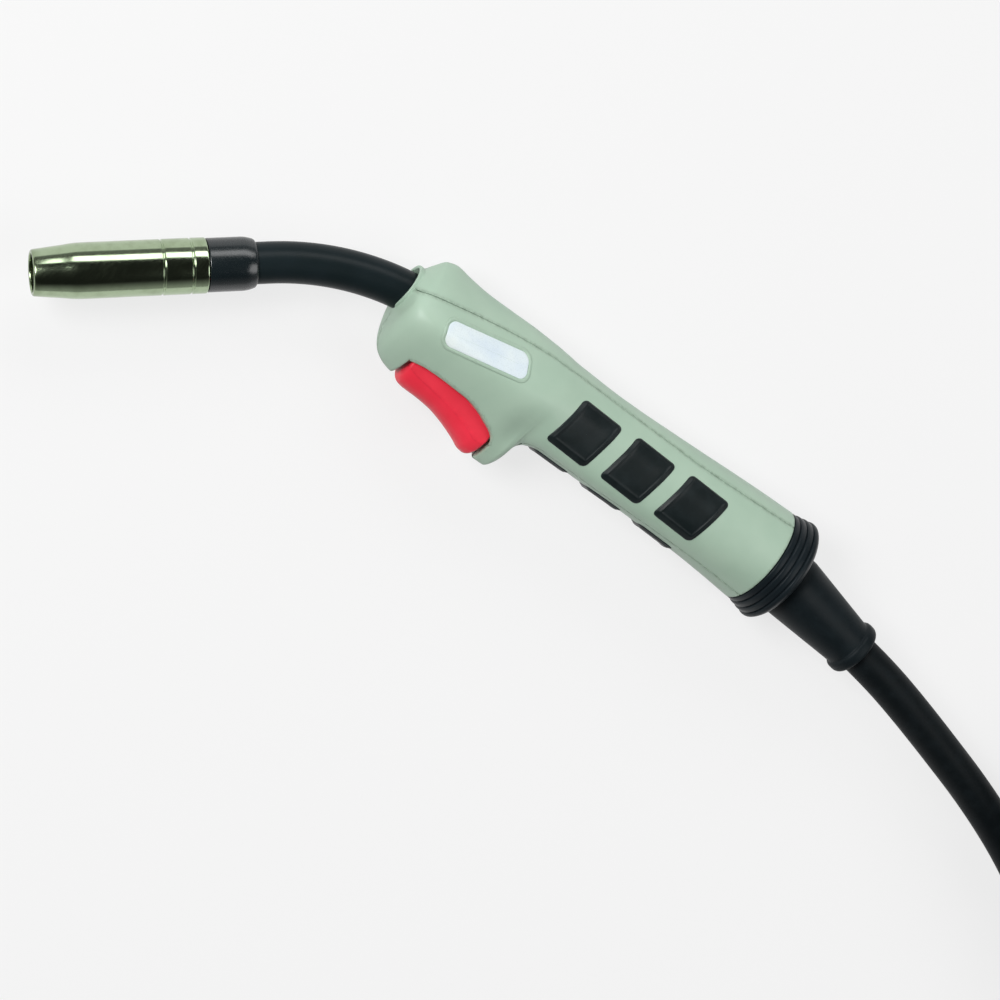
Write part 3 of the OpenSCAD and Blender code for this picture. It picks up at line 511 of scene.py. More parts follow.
@dataclass(frozen=True)
class MouldedPlastic:
    """Injection-moulded plastic with a fine spark-eroded grain.

    Attributes:
        name: Name of the finish.
        colour: Main colour.
        shade: Colour in the hollows of a large, faint cloud.
        grime: Colour of the dirt that sits along seams and edges.
        rough: Roughness.
        grain_mm: Width of a grain.
        grain_depth_mm: Depth of the grain.
        grime_share: How much of the grime shows at an edge.
        specular: Strength of the reflection.
    """

    name: str
    colour: Colour
    shade: Colour
    grime: Colour
    rough: float = 0.45
    grain_mm: float = 0.35
    grain_depth_mm: float = 0.012
    grime_share: float = 0.5
    specular: float = 0.5

    def make(self) -> bpy.types.Material:
        """Lays out the material.

        Returns:
            The material.
        """
        material, desk = new_desk(self.name)
        where = desk.place()
        cloud = desk.speckle(where, 14.0, 3.0)
        fine = desk.speckle(where, self.grain_mm, 2.0, 0.6)
        smear = desk.speckle(where, 1.6, 3.0, 0.6)
        base = desk.blend(cloud.band(0.35, 0.7), self.shade, self.colour)
        dirt = desk.rub() * smear.band(0.3, 0.65) * self.grime_share
        colour = desk.blend(dirt, base, self.grime)
        scuff = desk.speckle(desk.place(stretch=(0.25, 1, 1)), 0.9, 4.0, 0.65).band(0.5, 0.8)
        roughness = (fine.band(0.3, 0.7, -0.04, 0.05) + self.rough) + scuff * 0.05
        grain = desk.relief(fine, self.grain_depth_mm)
        desk.surface({"Base Color": colour, "Roughness": roughness, "Normal": grain,
                      "Specular IOR Level": self.specular})
        return material


@dataclass(frozen=True)
class Rubber:
    """Soft black rubber or elastomer with a matt bloom.

    Attributes:
        name: Name of the finish.
        colour: Main colour.
        bloom: Paler colour of the bloom and of rubbed edges.
        rough: Roughness.
        grain_mm: Width of a grain.
        grain_depth_mm: Depth of the grain.
        bloom_share: How much of the bloom shows.
        specular: Strength of the reflection.
    """

    name: str
    colour: Colour
    bloom: Colour
    rough: float = 0.5
    grain_mm: float = 0.25
    grain_depth_mm: float = 0.01
    bloom_share: float = 0.35
    specular: float = 0.16

    def make(self) -> bpy.types.Material:
        """Lays out the material.

        Returns:
            The material.
        """
        material, desk = new_desk(self.name)
        where = desk.place()
        cloud = desk.speckle(where, 7.0, 4.0, 0.6)
        fine = desk.speckle(where, self.grain_mm, 2.0, 0.55)
        worn = desk.rub() * desk.speckle(where, 1.1, 3.0).band(0.25, 0.6)
        share = cloud.band(0.45, 0.75) * self.bloom_share + worn * 0.5
        colour = desk.blend(share, self.colour, self.bloom)
        roughness = cloud.band(0.3, 0.7, -0.06, 0.06) + self.rough
        desk.surface({"Base Color": colour, "Roughness": roughness,
                      "Normal": desk.relief(fine, self.grain_depth_mm),
                      "Specular IOR Level": self.specular})
        return material


@dataclass(frozen=True)
class Metal:
    """Turned, drawn or plated metal.

    Attributes:
        name: Name of the finish.
        colour: Colour of the metal.
        tarnish: Colour where it has dulled.
        rough: Roughness.
        tarnish_share: How much of it has dulled.
        lay_mm: Width of the tool marks.
        lay_depth_mm: Depth of the tool marks.
        stretch: Factors on x, y and z: the marks are long where they are small.
        turn: Turn of the pattern in degrees, after the stretch.
    """

    name: str
    colour: Colour
    tarnish: Colour
    rough: float = 0.2
    tarnish_share: float = 0.4
    lay_mm: float = 0.3
    lay_depth_mm: float = 0.002
    stretch: Triple = (1.0, 0.1, 0.1)
    turn: Triple = (0.0, 0.0, 0.0)

    def make(self) -> bpy.types.Material:
        """Lays out the material.

        Returns:
            The material.
        """
        material, desk = new_desk(self.name)
        marks = desk.speckle(desk.place(self.turn, self.stretch), self.lay_mm, 3.0, 0.6)
        cloud = desk.speckle(desk.place(), 5.0, 4.0, 0.6)
        dull = cloud.band(0.45, 0.75) * self.tarnish_share + desk.rub() * 0.4
        colour = desk.blend(dull, self.colour, self.tarnish)
        roughness = (marks.band(0.3, 0.7, -0.03, 0.05) + self.rough) + dull * 0.12
        desk.surface({"Base Color": colour, "Metallic": 1.0, "Roughness": roughness,
                      "Normal": desk.relief(marks, self.lay_depth_mm)})
        return material


# Turn of the pattern on the head's metal: the angle of the head against the grip.
HEAD_TURN = (0.0, 0.0, -39.5)


class Finish(Enum):
    """The finishes of the torch, one for each kind of surface."""

    SHELL = MouldedPlastic("sage_shell", linear(166, 189, 170), linear(160, 184, 165),
                           linear(86, 101, 82), rough=0.44, grain_depth_mm=0.010)
    TRIGGER = MouldedPlastic("trigger_red", linear(240, 54, 74), linear(231, 48, 67),
                             linear(110, 18, 28), rough=0.42, grain_mm=0.3,
                             grain_depth_mm=0.012, grime_share=0.35, specular=0.25)
    PAD = Rubber("soft_pad", linear(18, 26, 27), linear(40, 51, 54), rough=0.4,
                 bloom_share=0.22, specular=0.22)
    COLLAR = MouldedPlastic("collar_nylon", linear(25, 33, 37), linear(20, 27, 31),
                            linear(54, 64, 68), rough=0.36, grain_depth_mm=0.006,
                            grime_share=0.4, specular=0.14)
    JACKET = MouldedPlastic("neck_sleeving", linear(24, 33, 36), linear(20, 29, 31),
                            linear(56, 66, 70), rough=0.34, grain_mm=0.5,
                            grain_depth_mm=0.008, grime_share=0.3, specular=0.12)
    SLEEVE = MouldedPlastic("head_sleeve", linear(16, 26, 29), linear(13, 22, 25),
                            linear(50, 66, 70), rough=0.24, grain_depth_mm=0.006,
                            grime_share=0.35, specular=0.7)
    SUPPORT = Rubber("support_rubber", linear(19, 26, 29), linear(40, 50, 54), rough=0.45,
                     bloom_share=0.18, grain_depth_mm=0.006, specular=0.1)
    LEAD = Rubber("lead_jacket", linear(15, 20, 22), linear(36, 44, 48), rough=0.5,
                  grain_mm=0.4, grain_depth_mm=0.012, bloom_share=0.25, specular=0.08)
    TIE = Rubber("woven_strap", linear(20, 22, 26), linear(52, 56, 62), rough=0.7,
                 grain_mm=0.8, grain_depth_mm=0.06, bloom_share=0.4)
    NICKEL = Metal("nozzle_nickel", linear(170, 187, 156), linear(112, 126, 92), rough=0.13,
                   tarnish_share=0.3, lay_mm=0.25, lay_depth_mm=0.0015,
                   stretch=(1.0, 0.08, 0.08), turn=HEAD_TURN)
    COPPER = Metal("tip_copper", linear(205, 128, 84), linear(120, 70, 48), rough=0.24,
                   turn=HEAD_TURN)
    PLATE = MouldedPlastic("bare_plate", linear(224, 233, 232), linear(206, 219, 228),
                           linear(140, 152, 158), rough=0.28, grain_mm=0.5,
                           grain_depth_mm=0.004, grime_share=0.5)
    BRASS = Metal("turned_brass", linear(214, 178, 100), linear(140, 108, 56), rough=0.2)
    STEEL = Metal("bright_steel", linear(190, 192, 194), linear(120, 120, 118), rough=0.22)
    BLACK_STEEL = Metal("blackened_steel", linear(70, 71, 74), linear(44, 40, 38), rough=0.36)
    BEARING = MouldedPlastic("bearing_plastic", linear(222, 217, 198), linear(212, 206, 186),
                             linear(140, 132, 110), rough=0.35)
    INSULATOR = MouldedPlastic("insulator_brown", linear(112, 78, 56), linear(98, 67, 48),
                               linear(52, 38, 30), rough=0.4)
    SWITCH = MouldedPlastic("switch_black", linear(42, 42, 44), linear(36, 36, 38),
                            linear(80, 80, 82), rough=0.3)
    PLUNGER = MouldedPlastic("plunger_red", linear(190, 52, 40), linear(176, 46, 36),
                             linear(90, 30, 26), rough=0.3)
    WIRE = MouldedPlastic("lead_yellow", linear(214, 190, 70), linear(200, 176, 62),
                          linear(120, 104, 50), rough=0.34)
    SEAL = Rubber("seal_black", linear(20, 21, 22), linear(50, 52, 54), rough=0.3,
                  bloom_share=0.1)

    def material(self) -> bpy.types.Material:
        """Makes the finish's material when it is first asked for.

        Returns:
            The material.
        """
        name = f"finish_{self.value.name}"
        made = bpy.data.materials.get(name)
        if made is None:
            made = self.value.make()
            made.name = name
        return made


# -------------------- handle
@dataclass
class HandleForm:
    """The outer form of the handle as cross-sections along x.

    A section is two half-height quarters on each side. A quarter is a cubic curve from the widest
    point to the top or bottom, whose handles are a share (the fullness) of the quarter's height
    and width. u runs round the right half: 0 at the top, 1 at the widest line, 2 at the bottom.

    Attributes:
        width: Half the width of the housing at its widest.
        grip_width: Half the width of the grip at its narrowest.
        rear_radius: Radius of the round rear end.
        housing_length: Distance from the front face to the start of the grip.
        grip_length: Length of the grip.
        seam: Places (x, y) of the seam between the spine and a side.
        belly_half: Half the width of the belly strip.
        hollow: The hollow behind the hook: its middle x and y, its reach along x and y, and the
            share of the half width that it takes away.
    """

    width: float = 21.0
    grip_width: float = 16.8
    rear_radius: float = 20.2
    housing_length: float = 76.0
    grip_length: float = 98.0
    seam: Array = field(default_factory=lambda: np.array(
        [(-176, -2.2), (-174, -1.9), (-170, -.3), (-159, 2.5), (-143, 6), (-130, 8.3), (-116, 10),
         (-96, 10.8), (-71, 11.5), (-46, 12.1), (-25, 13.5), (2, 15.6)], float))
    belly_half: float = 10.5
    hollow: tuple[float, float, float, float, float] = (-109.0, -21.5, 7.0, 8.0, 0.19)

    def __post_init__(self) -> None:
        """Fills the table of sections.

        A row holds the distance from the front face, the top, the bottom, the half width, the
        height of the widest line and the fullness above it and below it.
        """
        w, g, r = self.width, self.grip_width, self.rear_radius
        housing = np.array([
            (0, 6.7, -11.9, 9.3, -2.6, .552, .552), (.6, 6.4, -13.5, w - 9.5, -4, .50, .45),
            (1.8, 7.4, -20.5, w - 5.5, -6, .45, .42), (3.6, 10.2, -25.2, w - 3.4, -7, .38, .38),
            (6.4, 13.8, -28.2, w - 1.8, -7.6, .30, .34), (11, 15.1, -30.2, w - .7, -8, .26, .31),
            (17, 14.5, -31.2, w - .2, -8, .25, .30), (26, 14, -32.6, w, -8, .25, .30),
            (38, 14.4, -34.4, w, -7.6, .27, .30), (50, 14.9, -36.3, w - .1, -7, .32, .32),
            (59, 14.9, -37.6, w - .5, -6.2, .38, .36), (64, 14.7, -37.4, w - 1, -5.6, .42, .40),
            (66, 14.6, -35, w - 1.3, -5.3, .44, .42), (67, 14.5, -29.6, w - 1.5, -5.1, .45, .50),
            (68.5, 14.4, -25.4, w - 1.8, -4.9, .46, .60),
            (71, 14.3, -22.7, w - 2.3, -4.6, .47, .72)])
        grip = np.array([
            (0, 14.3, -21, g + .9, -4, .48, .84), (.10, 14.3, -20.6, g + .3, -3.4, .49, .88),
            (.24, 14.8, -20.2, g, -2.7, .50, .88), (.40, 15.9, -19.6, g + .2, -2.1, .51, .84),
            (.56, 17.1, -19.3, g + .8, -1.5, .53, .76), (.72, 18.4, -19.3, g + 1.7, -.9, .54, .67),
            (.86, 19.4, -19.6, g + 2.6, -.4, .55, .60), (1, r, -r, r, 0, .5523, .5523)])
        grip[:, 0] = self.housing_length + grip[:, 0] * self.grip_length
        self.table = np.vstack([housing, grip])
        self.table[:, 0] += FRONT_X

    def section(self, x: Array) -> tuple[Array, ...]:
        """Top, bottom, half width, widest height and the two fullnesses at x."""
        found = smooth_through(self.table[:, 0], self.table[:, 1:], x)
        return tuple(np.moveaxis(found, -1, 0))

    @staticmethod
    def _bow(t: Array, fullness: Array) -> Array:
        """Share of a quarter's height reached at t, which is also its width share at 1 - t."""
        s = 1 - t
        return 3 * fullness * s * s * t + 3 * s * t * t + t ** 3

    @classmethod
    def _unbow(cls, share: Array, fullness: Array) -> Array:
        """The t at which a quarter reaches a share of its height, by halving the interval.

        Args:
            share: Shares of the height, 0 to 1.
            fullness: Fullness of the quarters.

        Returns:
            The values of t.
        """
        share, fullness = np.broadcast_arrays(np.clip(share, 0, 1), fullness)
        low, high = np.zeros(share.shape), np.ones(share.shape)
        halvings = 36
        for _ in range(halvings):
            middle = (low + high) / 2
            below = cls._bow(middle, fullness) < share
            low, high = np.where(below, middle, low), np.where(below, high, middle)
        return (low + high) / 2

    def point(self, x: Array, u: Array, side: float = 1.0) -> Array:
        """Surface points of the handle.

        The hollow takes its share off the width, by exp of minus the squared distance from its
        middle, counted in its reaches along x and y.

        Args:
            x: Places along the handle.
            u: Places round it.
            side: 1 for the right side, -1 for the left.

        Returns:
            Points of the arguments' common shape, with (x, y, z) on the last axis.
        """
        x, u = np.broadcast_arrays(np.asarray(x, float), np.asarray(u, float))
        top, bottom, wide, mid, full_up, full_down = self.section(x)
        upper = u < 1
        t = np.abs(1 - u)
        fullness = np.where(upper, full_up, full_down)
        height = np.where(upper, top - mid, bottom - mid)
        y = mid + height * self._bow(t, fullness)
        at_x, at_y, long, high, share = self.hollow
        sunk = share * np.exp(-((x - at_x) / long) ** 2 - ((y - at_y) / high) ** 2)
        z = wide * self._bow(1 - t, fullness) * (1 - sunk) * side
        return np.stack([x, y, z], axis=-1)

    def slopes(self, x: Array, u: Array, side: float = 1.0) -> tuple[Array, Array, Array]:
        """Directions on the surface.

        Args:
            x: Places along the handle.
            u: Places round it.
            side: 1 for the right side, -1 for the left.

        Returns:
            Directions along x and along u and the outward normal, all of length one.
        """
        x = np.clip(x, FRONT_X + STEP_X, -STEP_X)
        u = np.clip(u, STEP_U, 2 - STEP_U)
        along = unit(self.point(x + STEP_X, u, side) - self.point(x - STEP_X, u, side))
        round_ = unit(self.point(x, u + STEP_U, side) - self.point(x, u - STEP_U, side))
        normal = unit(np.cross(along, round_)) * side
        return along, round_, -normal

    def pace(self, x: Array, u: Array) -> Array:
        """Millimetres of surface for a step of 1 in u."""
        u = np.clip(u, STEP_U, 2 - STEP_U)
        across = self.point(x, u + STEP_U) - self.point(x, u - STEP_U)
        return np.linalg.norm(across, axis=-1) / (2 * STEP_U)

    def u_under(self, x: Array, z: Array) -> Array:
        """u where the lower half of the section is z wide."""
        _, _, wide, _, _, full_down = self.section(x)
        return 2 - self._unbow(np.abs(z) / wide, full_down)

    def u_at_height(self, x: Array, y: Array) -> Array:
        """u where the section is at height y.

        Args:
            x: Places along the handle.
            y: Heights.

        Returns:
            The values of u, from 0 at the top to 2 at the bottom.
        """
        top, bottom, _, mid, full_up, full_down = self.section(x)
        up = self._unbow((y - mid) / (top - mid), full_up)
        down = self._unbow((mid - y) / (mid - bottom), full_down)
        return np.where(y > mid, 1 - up, 1 + down)

    def on_side(self, x: Array, y: Array, lift: Array, side: float) -> Array:
        """Points over (x, y) on a side of the handle, lifted off the surface."""
        u = self.u_at_height(x, y)
        return self.point(x, u, side) + lift[..., None] * self.slopes(x, u, side)[2]

    def on_belly(self, x: Array, z: Array, lift: Array) -> Array:
        """Points on the belly of the grip.

        Args:
            x: Places along the handle.
            z: Places across it, under zero on the left.
            lift: Distances off the surface.

        Returns:
            Points of the arguments' common shape, with (x, y, z) on the last axis.
        """
        u = self.u_under(x, z)
        right = self.point(x, u) + lift[..., None] * self.slopes(x, u)[2]
        return np.where(z[..., None] < 0, right * MIRROR, right)

    def spine_seam(self, x: Array) -> Array:
        """u of the seam between the spine and a side."""
        return self.u_at_height(x, smooth_through(self.seam[:, 0], self.seam[:, 1:], x)[:, 0])


@dataclass
class HandleShells:
    """Side shells, spine and belly strip, drawn on one form and parted by thin seams.

    Attributes:
        form: The handle's outer form.
        seam_half: Half the distance between the rolled edges of two parts.
        slot: The trigger's opening seen from the side, front corner to rear corner.
        slot_round: Rounding of the opening's edge.
        well_half: Half the width of the trigger's well.
        well_floor: Height at which the well's wall ends.
        belly_front: Front end of the belly strip.
        rear: Rear end of the shells.
        screws: Places (x, y) of the screws on the left side.
        screw_clear: Distance from a screw up to which the shell is left open.
        screw_rim: Radius and lift of the rings round a screw.
        screw_depth: Depth of a screw's bore.
        rows: Rows of points from the spine to the opening's level, on to the belly seam and on
            to the middle of the underside.
    """

    form: HandleForm
    seam_half: float = 0.45
    slot: Array = field(default_factory=lambda: np.array([
        (-159.4, -23.8), (-156, -22.9), (-151.5, -22.2), (-143, -21.9), (-135, -21.9),
        (-128, -23), (-123, -24.7), (-117.5, -27.2), (-115, -30.5)], float))
    slot_round: float = 0.9
    well_half: float = 9.7
    well_floor: float = -13.5
    belly_front: float = -105.6
    rear: float = -0.36
    screws: Array = field(default_factory=lambda: np.array([
        (-164.2, -18.8), (-111.0, -27.0), (-78.4, -12.4), (-18.6, 7.0)]))
    screw_clear: float = 3.7
    screw_rim: Array = field(default_factory=lambda: np.array([
        (4.75, -.5), (4.6, 0), (4.35, .22), (4.0, .3), (3.2, .3), (2.95, .22), (2.8, .05),
        (2.75, -.2)]))
    screw_depth: float = 3.6
    rows: tuple[int, int, int] = (66, 26, 18)

    def __post_init__(self) -> None:
        """Lays out the columns along x: close where the form turns fast or an edge needs one."""
        r = self.slot_round
        self.front_col, self.rear_col = self.slot[0, 0] - r, self.slot[-1, 0] + r
        edge = self.belly_front - self.seam_half
        self.grip_columns = ((-103, -98, 12), (-98, self.rear, 130))
        self.x = steps((FRONT_X, -173.4, 5), (-173.4, -172.2, 8), (-172.2, -170.4, 9),
                       (-170.4, -167.6, 10), (-167.6, self.front_col, 16),
                       (self.front_col, self.rear_col, 96), (self.rear_col, -110, 12),
                       (-110, -108, 10), (-108, -107, 12), (-107, edge, 8), (edge, -103, 12),
                       *self.grip_columns)
        self.front_i = int(np.argmin(np.abs(self.x - self.front_col)))
        self.rear_i = int(np.argmin(np.abs(self.x - self.rear_col)))
        self.edge_i = int(np.argmin(np.abs(self.x - edge)))

    def _shift(self, u: Array, distance: float) -> Array:
        """u moved on along the surface by a distance in millimetres."""
        return u + distance / self.form.pace(self.x, u)

    def _slot_line(self) -> tuple[Array, Array, Array, Array]:
        """The opening's edge, offset by its rounding, read at the columns.

        Returns:
            Height of the offset edge, x and y of the true edge, and the direction from the
            shell into the opening there.
        """
        r, beside = self.slot_round, 0.05
        own = steps(*[(a, b, 24) for a, b in zip(self.slot[:-1, 0], self.slot[1:, 0])])
        true = np.stack([own, smooth_through(self.slot[:, 0], self.slot[:, 1:], own)[:, 0]], 1)
        run = unit(np.gradient(true, axis=0))
        up = np.stack([-run[:, 1], run[:, 0]], 1)
        off = true + r * up
        off = off[(off[:, 0] > self.front_col + beside) & (off[:, 0] < self.rear_col - beside)]
        off = np.vstack([[self.front_col, self.slot[0, 1] + r], off,
                         [self.rear_col, self.slot[-1, 1] + r]])
        x = self.x[self.front_i:self.rear_i + 1]
        height = np.interp(x, off[:, 0], off[:, 1])
        share = np.interp(x, off[:, 0], np.linspace(0, 1, len(off)))
        spread = np.linspace(0, 1, len(true))
        true_x, true_y = (np.interp(share, spread, true[:, i]) for i in (0, 1))
        down = unit(np.stack([np.interp(share, spread, -up[:, i]) for i in (0, 1)], 1))
        return height, true_x, true_y, down

    def side(self, name: str, side: float, node: str) -> None:
        """Builds one side shell.

        Rows run from the spine seam down to the slot's level, on to the belly seam and on to
        the middle of the underside. Cells over the trigger's opening and under the belly strip
        are left out, and every free edge gets a rolled lip or the opening's wall.

        Args:
            name: Name of the piece.
            side: 1 for the right, -1 for the left.
            node: CAD node that it stands for.
        """
        form, x = self.form, self.x
        top = self._shift(form.spine_seam(x), self.seam_half)
        height, true_x, true_y, down = self._slot_line()
        slot_x = x[self.front_i:self.rear_i + 1]
        level = np.interp(x, slot_x, form.u_at_height(slot_x, height))
        last = self._shift(np.full(x.shape, 2.0) - STEP_U, -self.seam_half)
        belly = self._belly_line(level, last)
        upper, lower, under = self.rows
        row, e = upper - 1, upper + lower - 1
        u = np.vstack([top + (level - top) * np.linspace(0, 1, upper)[:, None],
                       level + (belly - level) * np.linspace(0, 1, lower + 1)[1:, None],
                       belly + (last - belly) * np.linspace(0, 1, under + 1)[1:, None]])
        grid = form.point(x, u, side)
        keep = np.ones((u.shape[0] - 1, u.shape[1] - 1), bool)
        keep[row:, self.front_i:self.rear_i] = False
        if side < 0:
            keep &= self._clear_of_screws(grid)
        keep[e:, self.edge_i:] = False
        along, round_, normal = form.slopes(np.broadcast_to(x, u.shape), u, side)
        mould = Mould(name).net(grid, keep=keep, rub=self._near_edges(grid, u, top, last))
        edges = ((np.s_[0, :], -round_), (np.s_[:e + 1, -1], along),
                 (np.s_[e, self.edge_i:], round_), (np.s_[e:, self.edge_i], along),
                 (np.s_[-1, :self.front_i + 1], round_),
                 (np.s_[-1, self.rear_i:self.edge_i + 1], round_))
        for points, outwards in edges:
            mould.lip(grid[points], outwards[points], normal[points])
        self._slot_wall(mould, grid, u, row, side, true_x, true_y, down)
        if side < 0:
            self._screw_seats(mould)
        mould.piece(Finish.SHELL, "handle", "handle_shell", (node,), crease=50, core=CORE)

    def _belly_line(self, level: Array, last: Array) -> Array:
        """u of the row that follows the belly seam.

        Ahead of the strip it runs halfway between the opening's level and the underside, and
        over a few millimetres it changes over to the seam.

        Args:
            level: u of the opening's level at the columns.
            last: u of the underside's edge at the columns.

        Returns:
            u at the columns.
        """
        change_from, change_over = -114.0, 4.0
        x = self.x
        seam = self._shift(self.form.u_under(x, np.full(x.shape, self.form.belly_half)),
                           -self.seam_half)
        blend = np.clip((x - change_from) / change_over, 0, 1)
        return (level + (last - level) * 0.5) * (1 - blend) + seam * blend

    def _clear_of_screws(self, grid: Array) -> Array:
        """Which cells of the left side lie clear of every screw."""
        middle = (grid[:-1, :-1] + grid[1:, 1:])[..., :2] / 2
        away = np.linalg.norm(middle[None] - self.screws[:, None, None, :], axis=-1)
        return (away > self.screw_clear).all(axis=0)

    def _screw_seats(self, mould: Mould) -> None:
        """Adds a low rounded rim and a bore round each screw of the left side.

        Rings of falling radius are laid on the surface and lifted a little, then the last one
        is carried straight in along z.

        Args:
            mould: Mould of the left side.
        """
        turn = np.linspace(0, 2 * np.pi, 40, endpoint=False)
        radius, lift = self.screw_rim.T[..., None]
        rear_limit = -0.5
        for x, y in self.screws:
            px = np.minimum(x + radius * np.cos(turn), rear_limit)
            py = y + radius * np.sin(turn)
            rim = self.form.on_side(px, py, np.broadcast_to(lift, px.shape), -1.0)
            floor = rim[-1:].copy()
            floor[..., 2] = rim[-1, :, 2].mean() + self.screw_depth
            mould.net(np.concatenate([rim, floor]), wrap_columns=True, rub=0.5)

    def _near_edges(self, grid: Array, u: Array, top: Array, last: Array) -> Array:
        """How near a side's points are to its seams and its rear edge.

        Args:
            grid: The side's points.
            u: Their places round the handle.
            top: u of the spine seam at the columns.
            last: u of the underside's edge at the columns.

        Returns:
            1 at an edge, falling to 0 across the rubbed band.
        """
        pace = self.form.pace(self.x, u)
        seams = np.minimum((u - top) * pace, (last - u) * pace)
        return edge_rub(np.minimum(seams, -grid[..., 0]))

    def _slot_wall(self, mould: Mould, grid: Array, u: Array, row: int, side: float,
                   true_x: Array, true_y: Array, down: Array) -> None:
        """Adds the rounded edge and the wall of the trigger's opening.

        Each edge point S turns from the surface into the wall along
        S + (edge - S)(1 - sin a) + (inner - S)(1 - cos a), with a from 0 to 90 degrees.

        Args:
            mould: Mould of the side.
            grid: The side's points.
            u: Their places round the handle.
            row: Row of the opening's upper edge.
            side: 1 for the right, -1 for the left.
            true_x: x of the opening's edge at the columns.
            true_y: Height of that edge.
            down: Direction from the shell into the opening there.
        """
        form, r = self.form, self.slot_round
        f, b = self.front_i, self.rear_i
        u_front, u_rear = form.u_at_height(self.slot[[0, -1], 0], self.slot[[0, -1], 1])
        uf, ub = (start + (u[-1, i] - start) * ((u[row:, i] - u[row, i]) / (u[-1, i] - u[row, i]))
                  for start, i in ((u_front, f), (u_rear, b)))
        us = form.u_at_height(true_x, true_y)
        xs = np.concatenate([np.full(uf.size, self.slot[0, 0]), true_x[1:-1],
                             np.full(ub.size, self.slot[-1, 0])])
        uu = np.concatenate([uf[::-1], us[1:-1], ub])
        wall = np.zeros((xs.size, 3))
        wall[:uf.size, 0] = 1.0
        wall[uf.size:-ub.size, :2] = down[1:-1]
        wall[-ub.size:, 0] = -1.0
        wall[[uf.size - 1, -ub.size]] = unit(np.array([[1.0, -1.0, 0.0], [-1.0, -1.0, 0.0]]))
        edge = np.concatenate([grid[row:, f][::-1], grid[row, f + 1:b], grid[row:, b]])
        spot = form.point(xs, uu, side)
        normal = form.slopes(xs, uu, side)[2]
        inwards = unit(normal - (normal * wall).sum(1, keepdims=True) * wall)
        inner = spot - r * inwards
        a = np.linspace(0, np.pi / 2, 6)[:, None, None]
        rolled = spot + (edge - spot) * (1 - np.sin(a)) + (inner - spot) * (1 - np.cos(a))
        depth = np.minimum(np.abs(spot[:, 2]), self.well_half) * side
        first = np.stack([xs, spot[:, 1], depth], 1)
        first[:uf.size, 1] = np.maximum(first[:uf.size, 1], self.slot[0, 1])
        first[-ub.size:, 1] = np.maximum(first[-ub.size:, 1], self.slot[-1, 1])
        deep = np.stack([xs, np.full(xs.size, self.well_floor), depth], 1)
        mould.net(np.concatenate([rolled, first[None], deep[None]]), rub=0.6)

    def spine(self) -> None:
        """The strip along the back, from seam to seam over the top."""
        form, x = self.form, self.x
        edge = self._shift(form.spine_seam(x), -self.seam_half)
        share = np.linspace(-1, 1, 61)[:, None]
        flip = np.where(share < 0, MIRROR, 1.0)
        u = np.abs(share) * edge
        grid = form.point(x, u) * flip[:, None]
        _, round_, normal = form.slopes(x, edge)
        along, _, rear = form.slopes(np.full(u.shape[0], self.rear), u[:, -1])
        near = edge_rub((1 - np.abs(share)) * edge * form.pace(x, edge))
        mould = Mould("back_spine").net(grid, rub=near)
        mould.lip(grid[-1], round_, normal)
        mould.lip(grid[0], round_ * MIRROR, normal * MIRROR)
        mould.lip(grid[:, -1], along * np.array([1.0, 1.0, 0.0]), rear * flip)
        mould.piece(Finish.SHELL, "handle", "handle_shell", ("top_spine",), crease=50, core=CORE)

    def belly(self) -> None:
        """The strip along the grip's belly, from seam to seam under the bottom."""
        form = self.form
        x = steps((self.belly_front + self.seam_half, -103, 12), *self.grip_columns)
        edge = form.u_under(x, np.full(x.shape, form.belly_half))
        edge = edge + self.seam_half / form.pace(x, edge)
        share = np.linspace(-1, 1, 49)[:, None]
        flip = np.where(share < 0, MIRROR, 1.0)
        u = 2 - np.abs(share) * (2 - edge)
        grid = form.point(x, u) * flip[:, None]
        _, round_, normal = form.slopes(x, edge)
        near = edge_rub((1 - np.abs(share)) * (2 - edge) * form.pace(x, edge))
        mould = Mould("belly_strip_skin").net(grid, rub=near)
        mould.lip(grid[-1], -round_, normal)
        mould.lip(grid[0], -round_ * MIRROR, normal * MIRROR)
        for column, way in ((0, -1.0), (-1, 1.0)):
            along, _, out = form.slopes(np.full(u.shape[0], x[column]), u[:, column])
            mould.lip(grid[:, column], along * flip * way, out * flip)
        mould.piece(Finish.SHELL, "handle", "handle_shell", ("belly_strip",), crease=50, core=CORE)

    def nose(self) -> None:
        """The short ring at the front that the neck passes through."""
        height, front, rear, bore, outer = -2.6, -175.2, -168.0, 7.95, 9.35
        outline = softened_loop([(rear, bore, 0), (front, bore, .7), (front, outer, .5),
                                 (rear, outer, 0)], 7)
        mould = Mould("nose_ring").solid(Axis((0.0, height, 0.0), 0.0), outline, 128)
        mould.piece(Finish.SHELL, "handle", "handle_shell")

    def build(self) -> None:
        """Builds every part of the handle's skin."""
        self.side("right_side_shell", 1.0, "right_shell")
        self.side("left_side_shell", -1.0, "left_shell")
        self.spine()
        self.belly()
        self.nose()


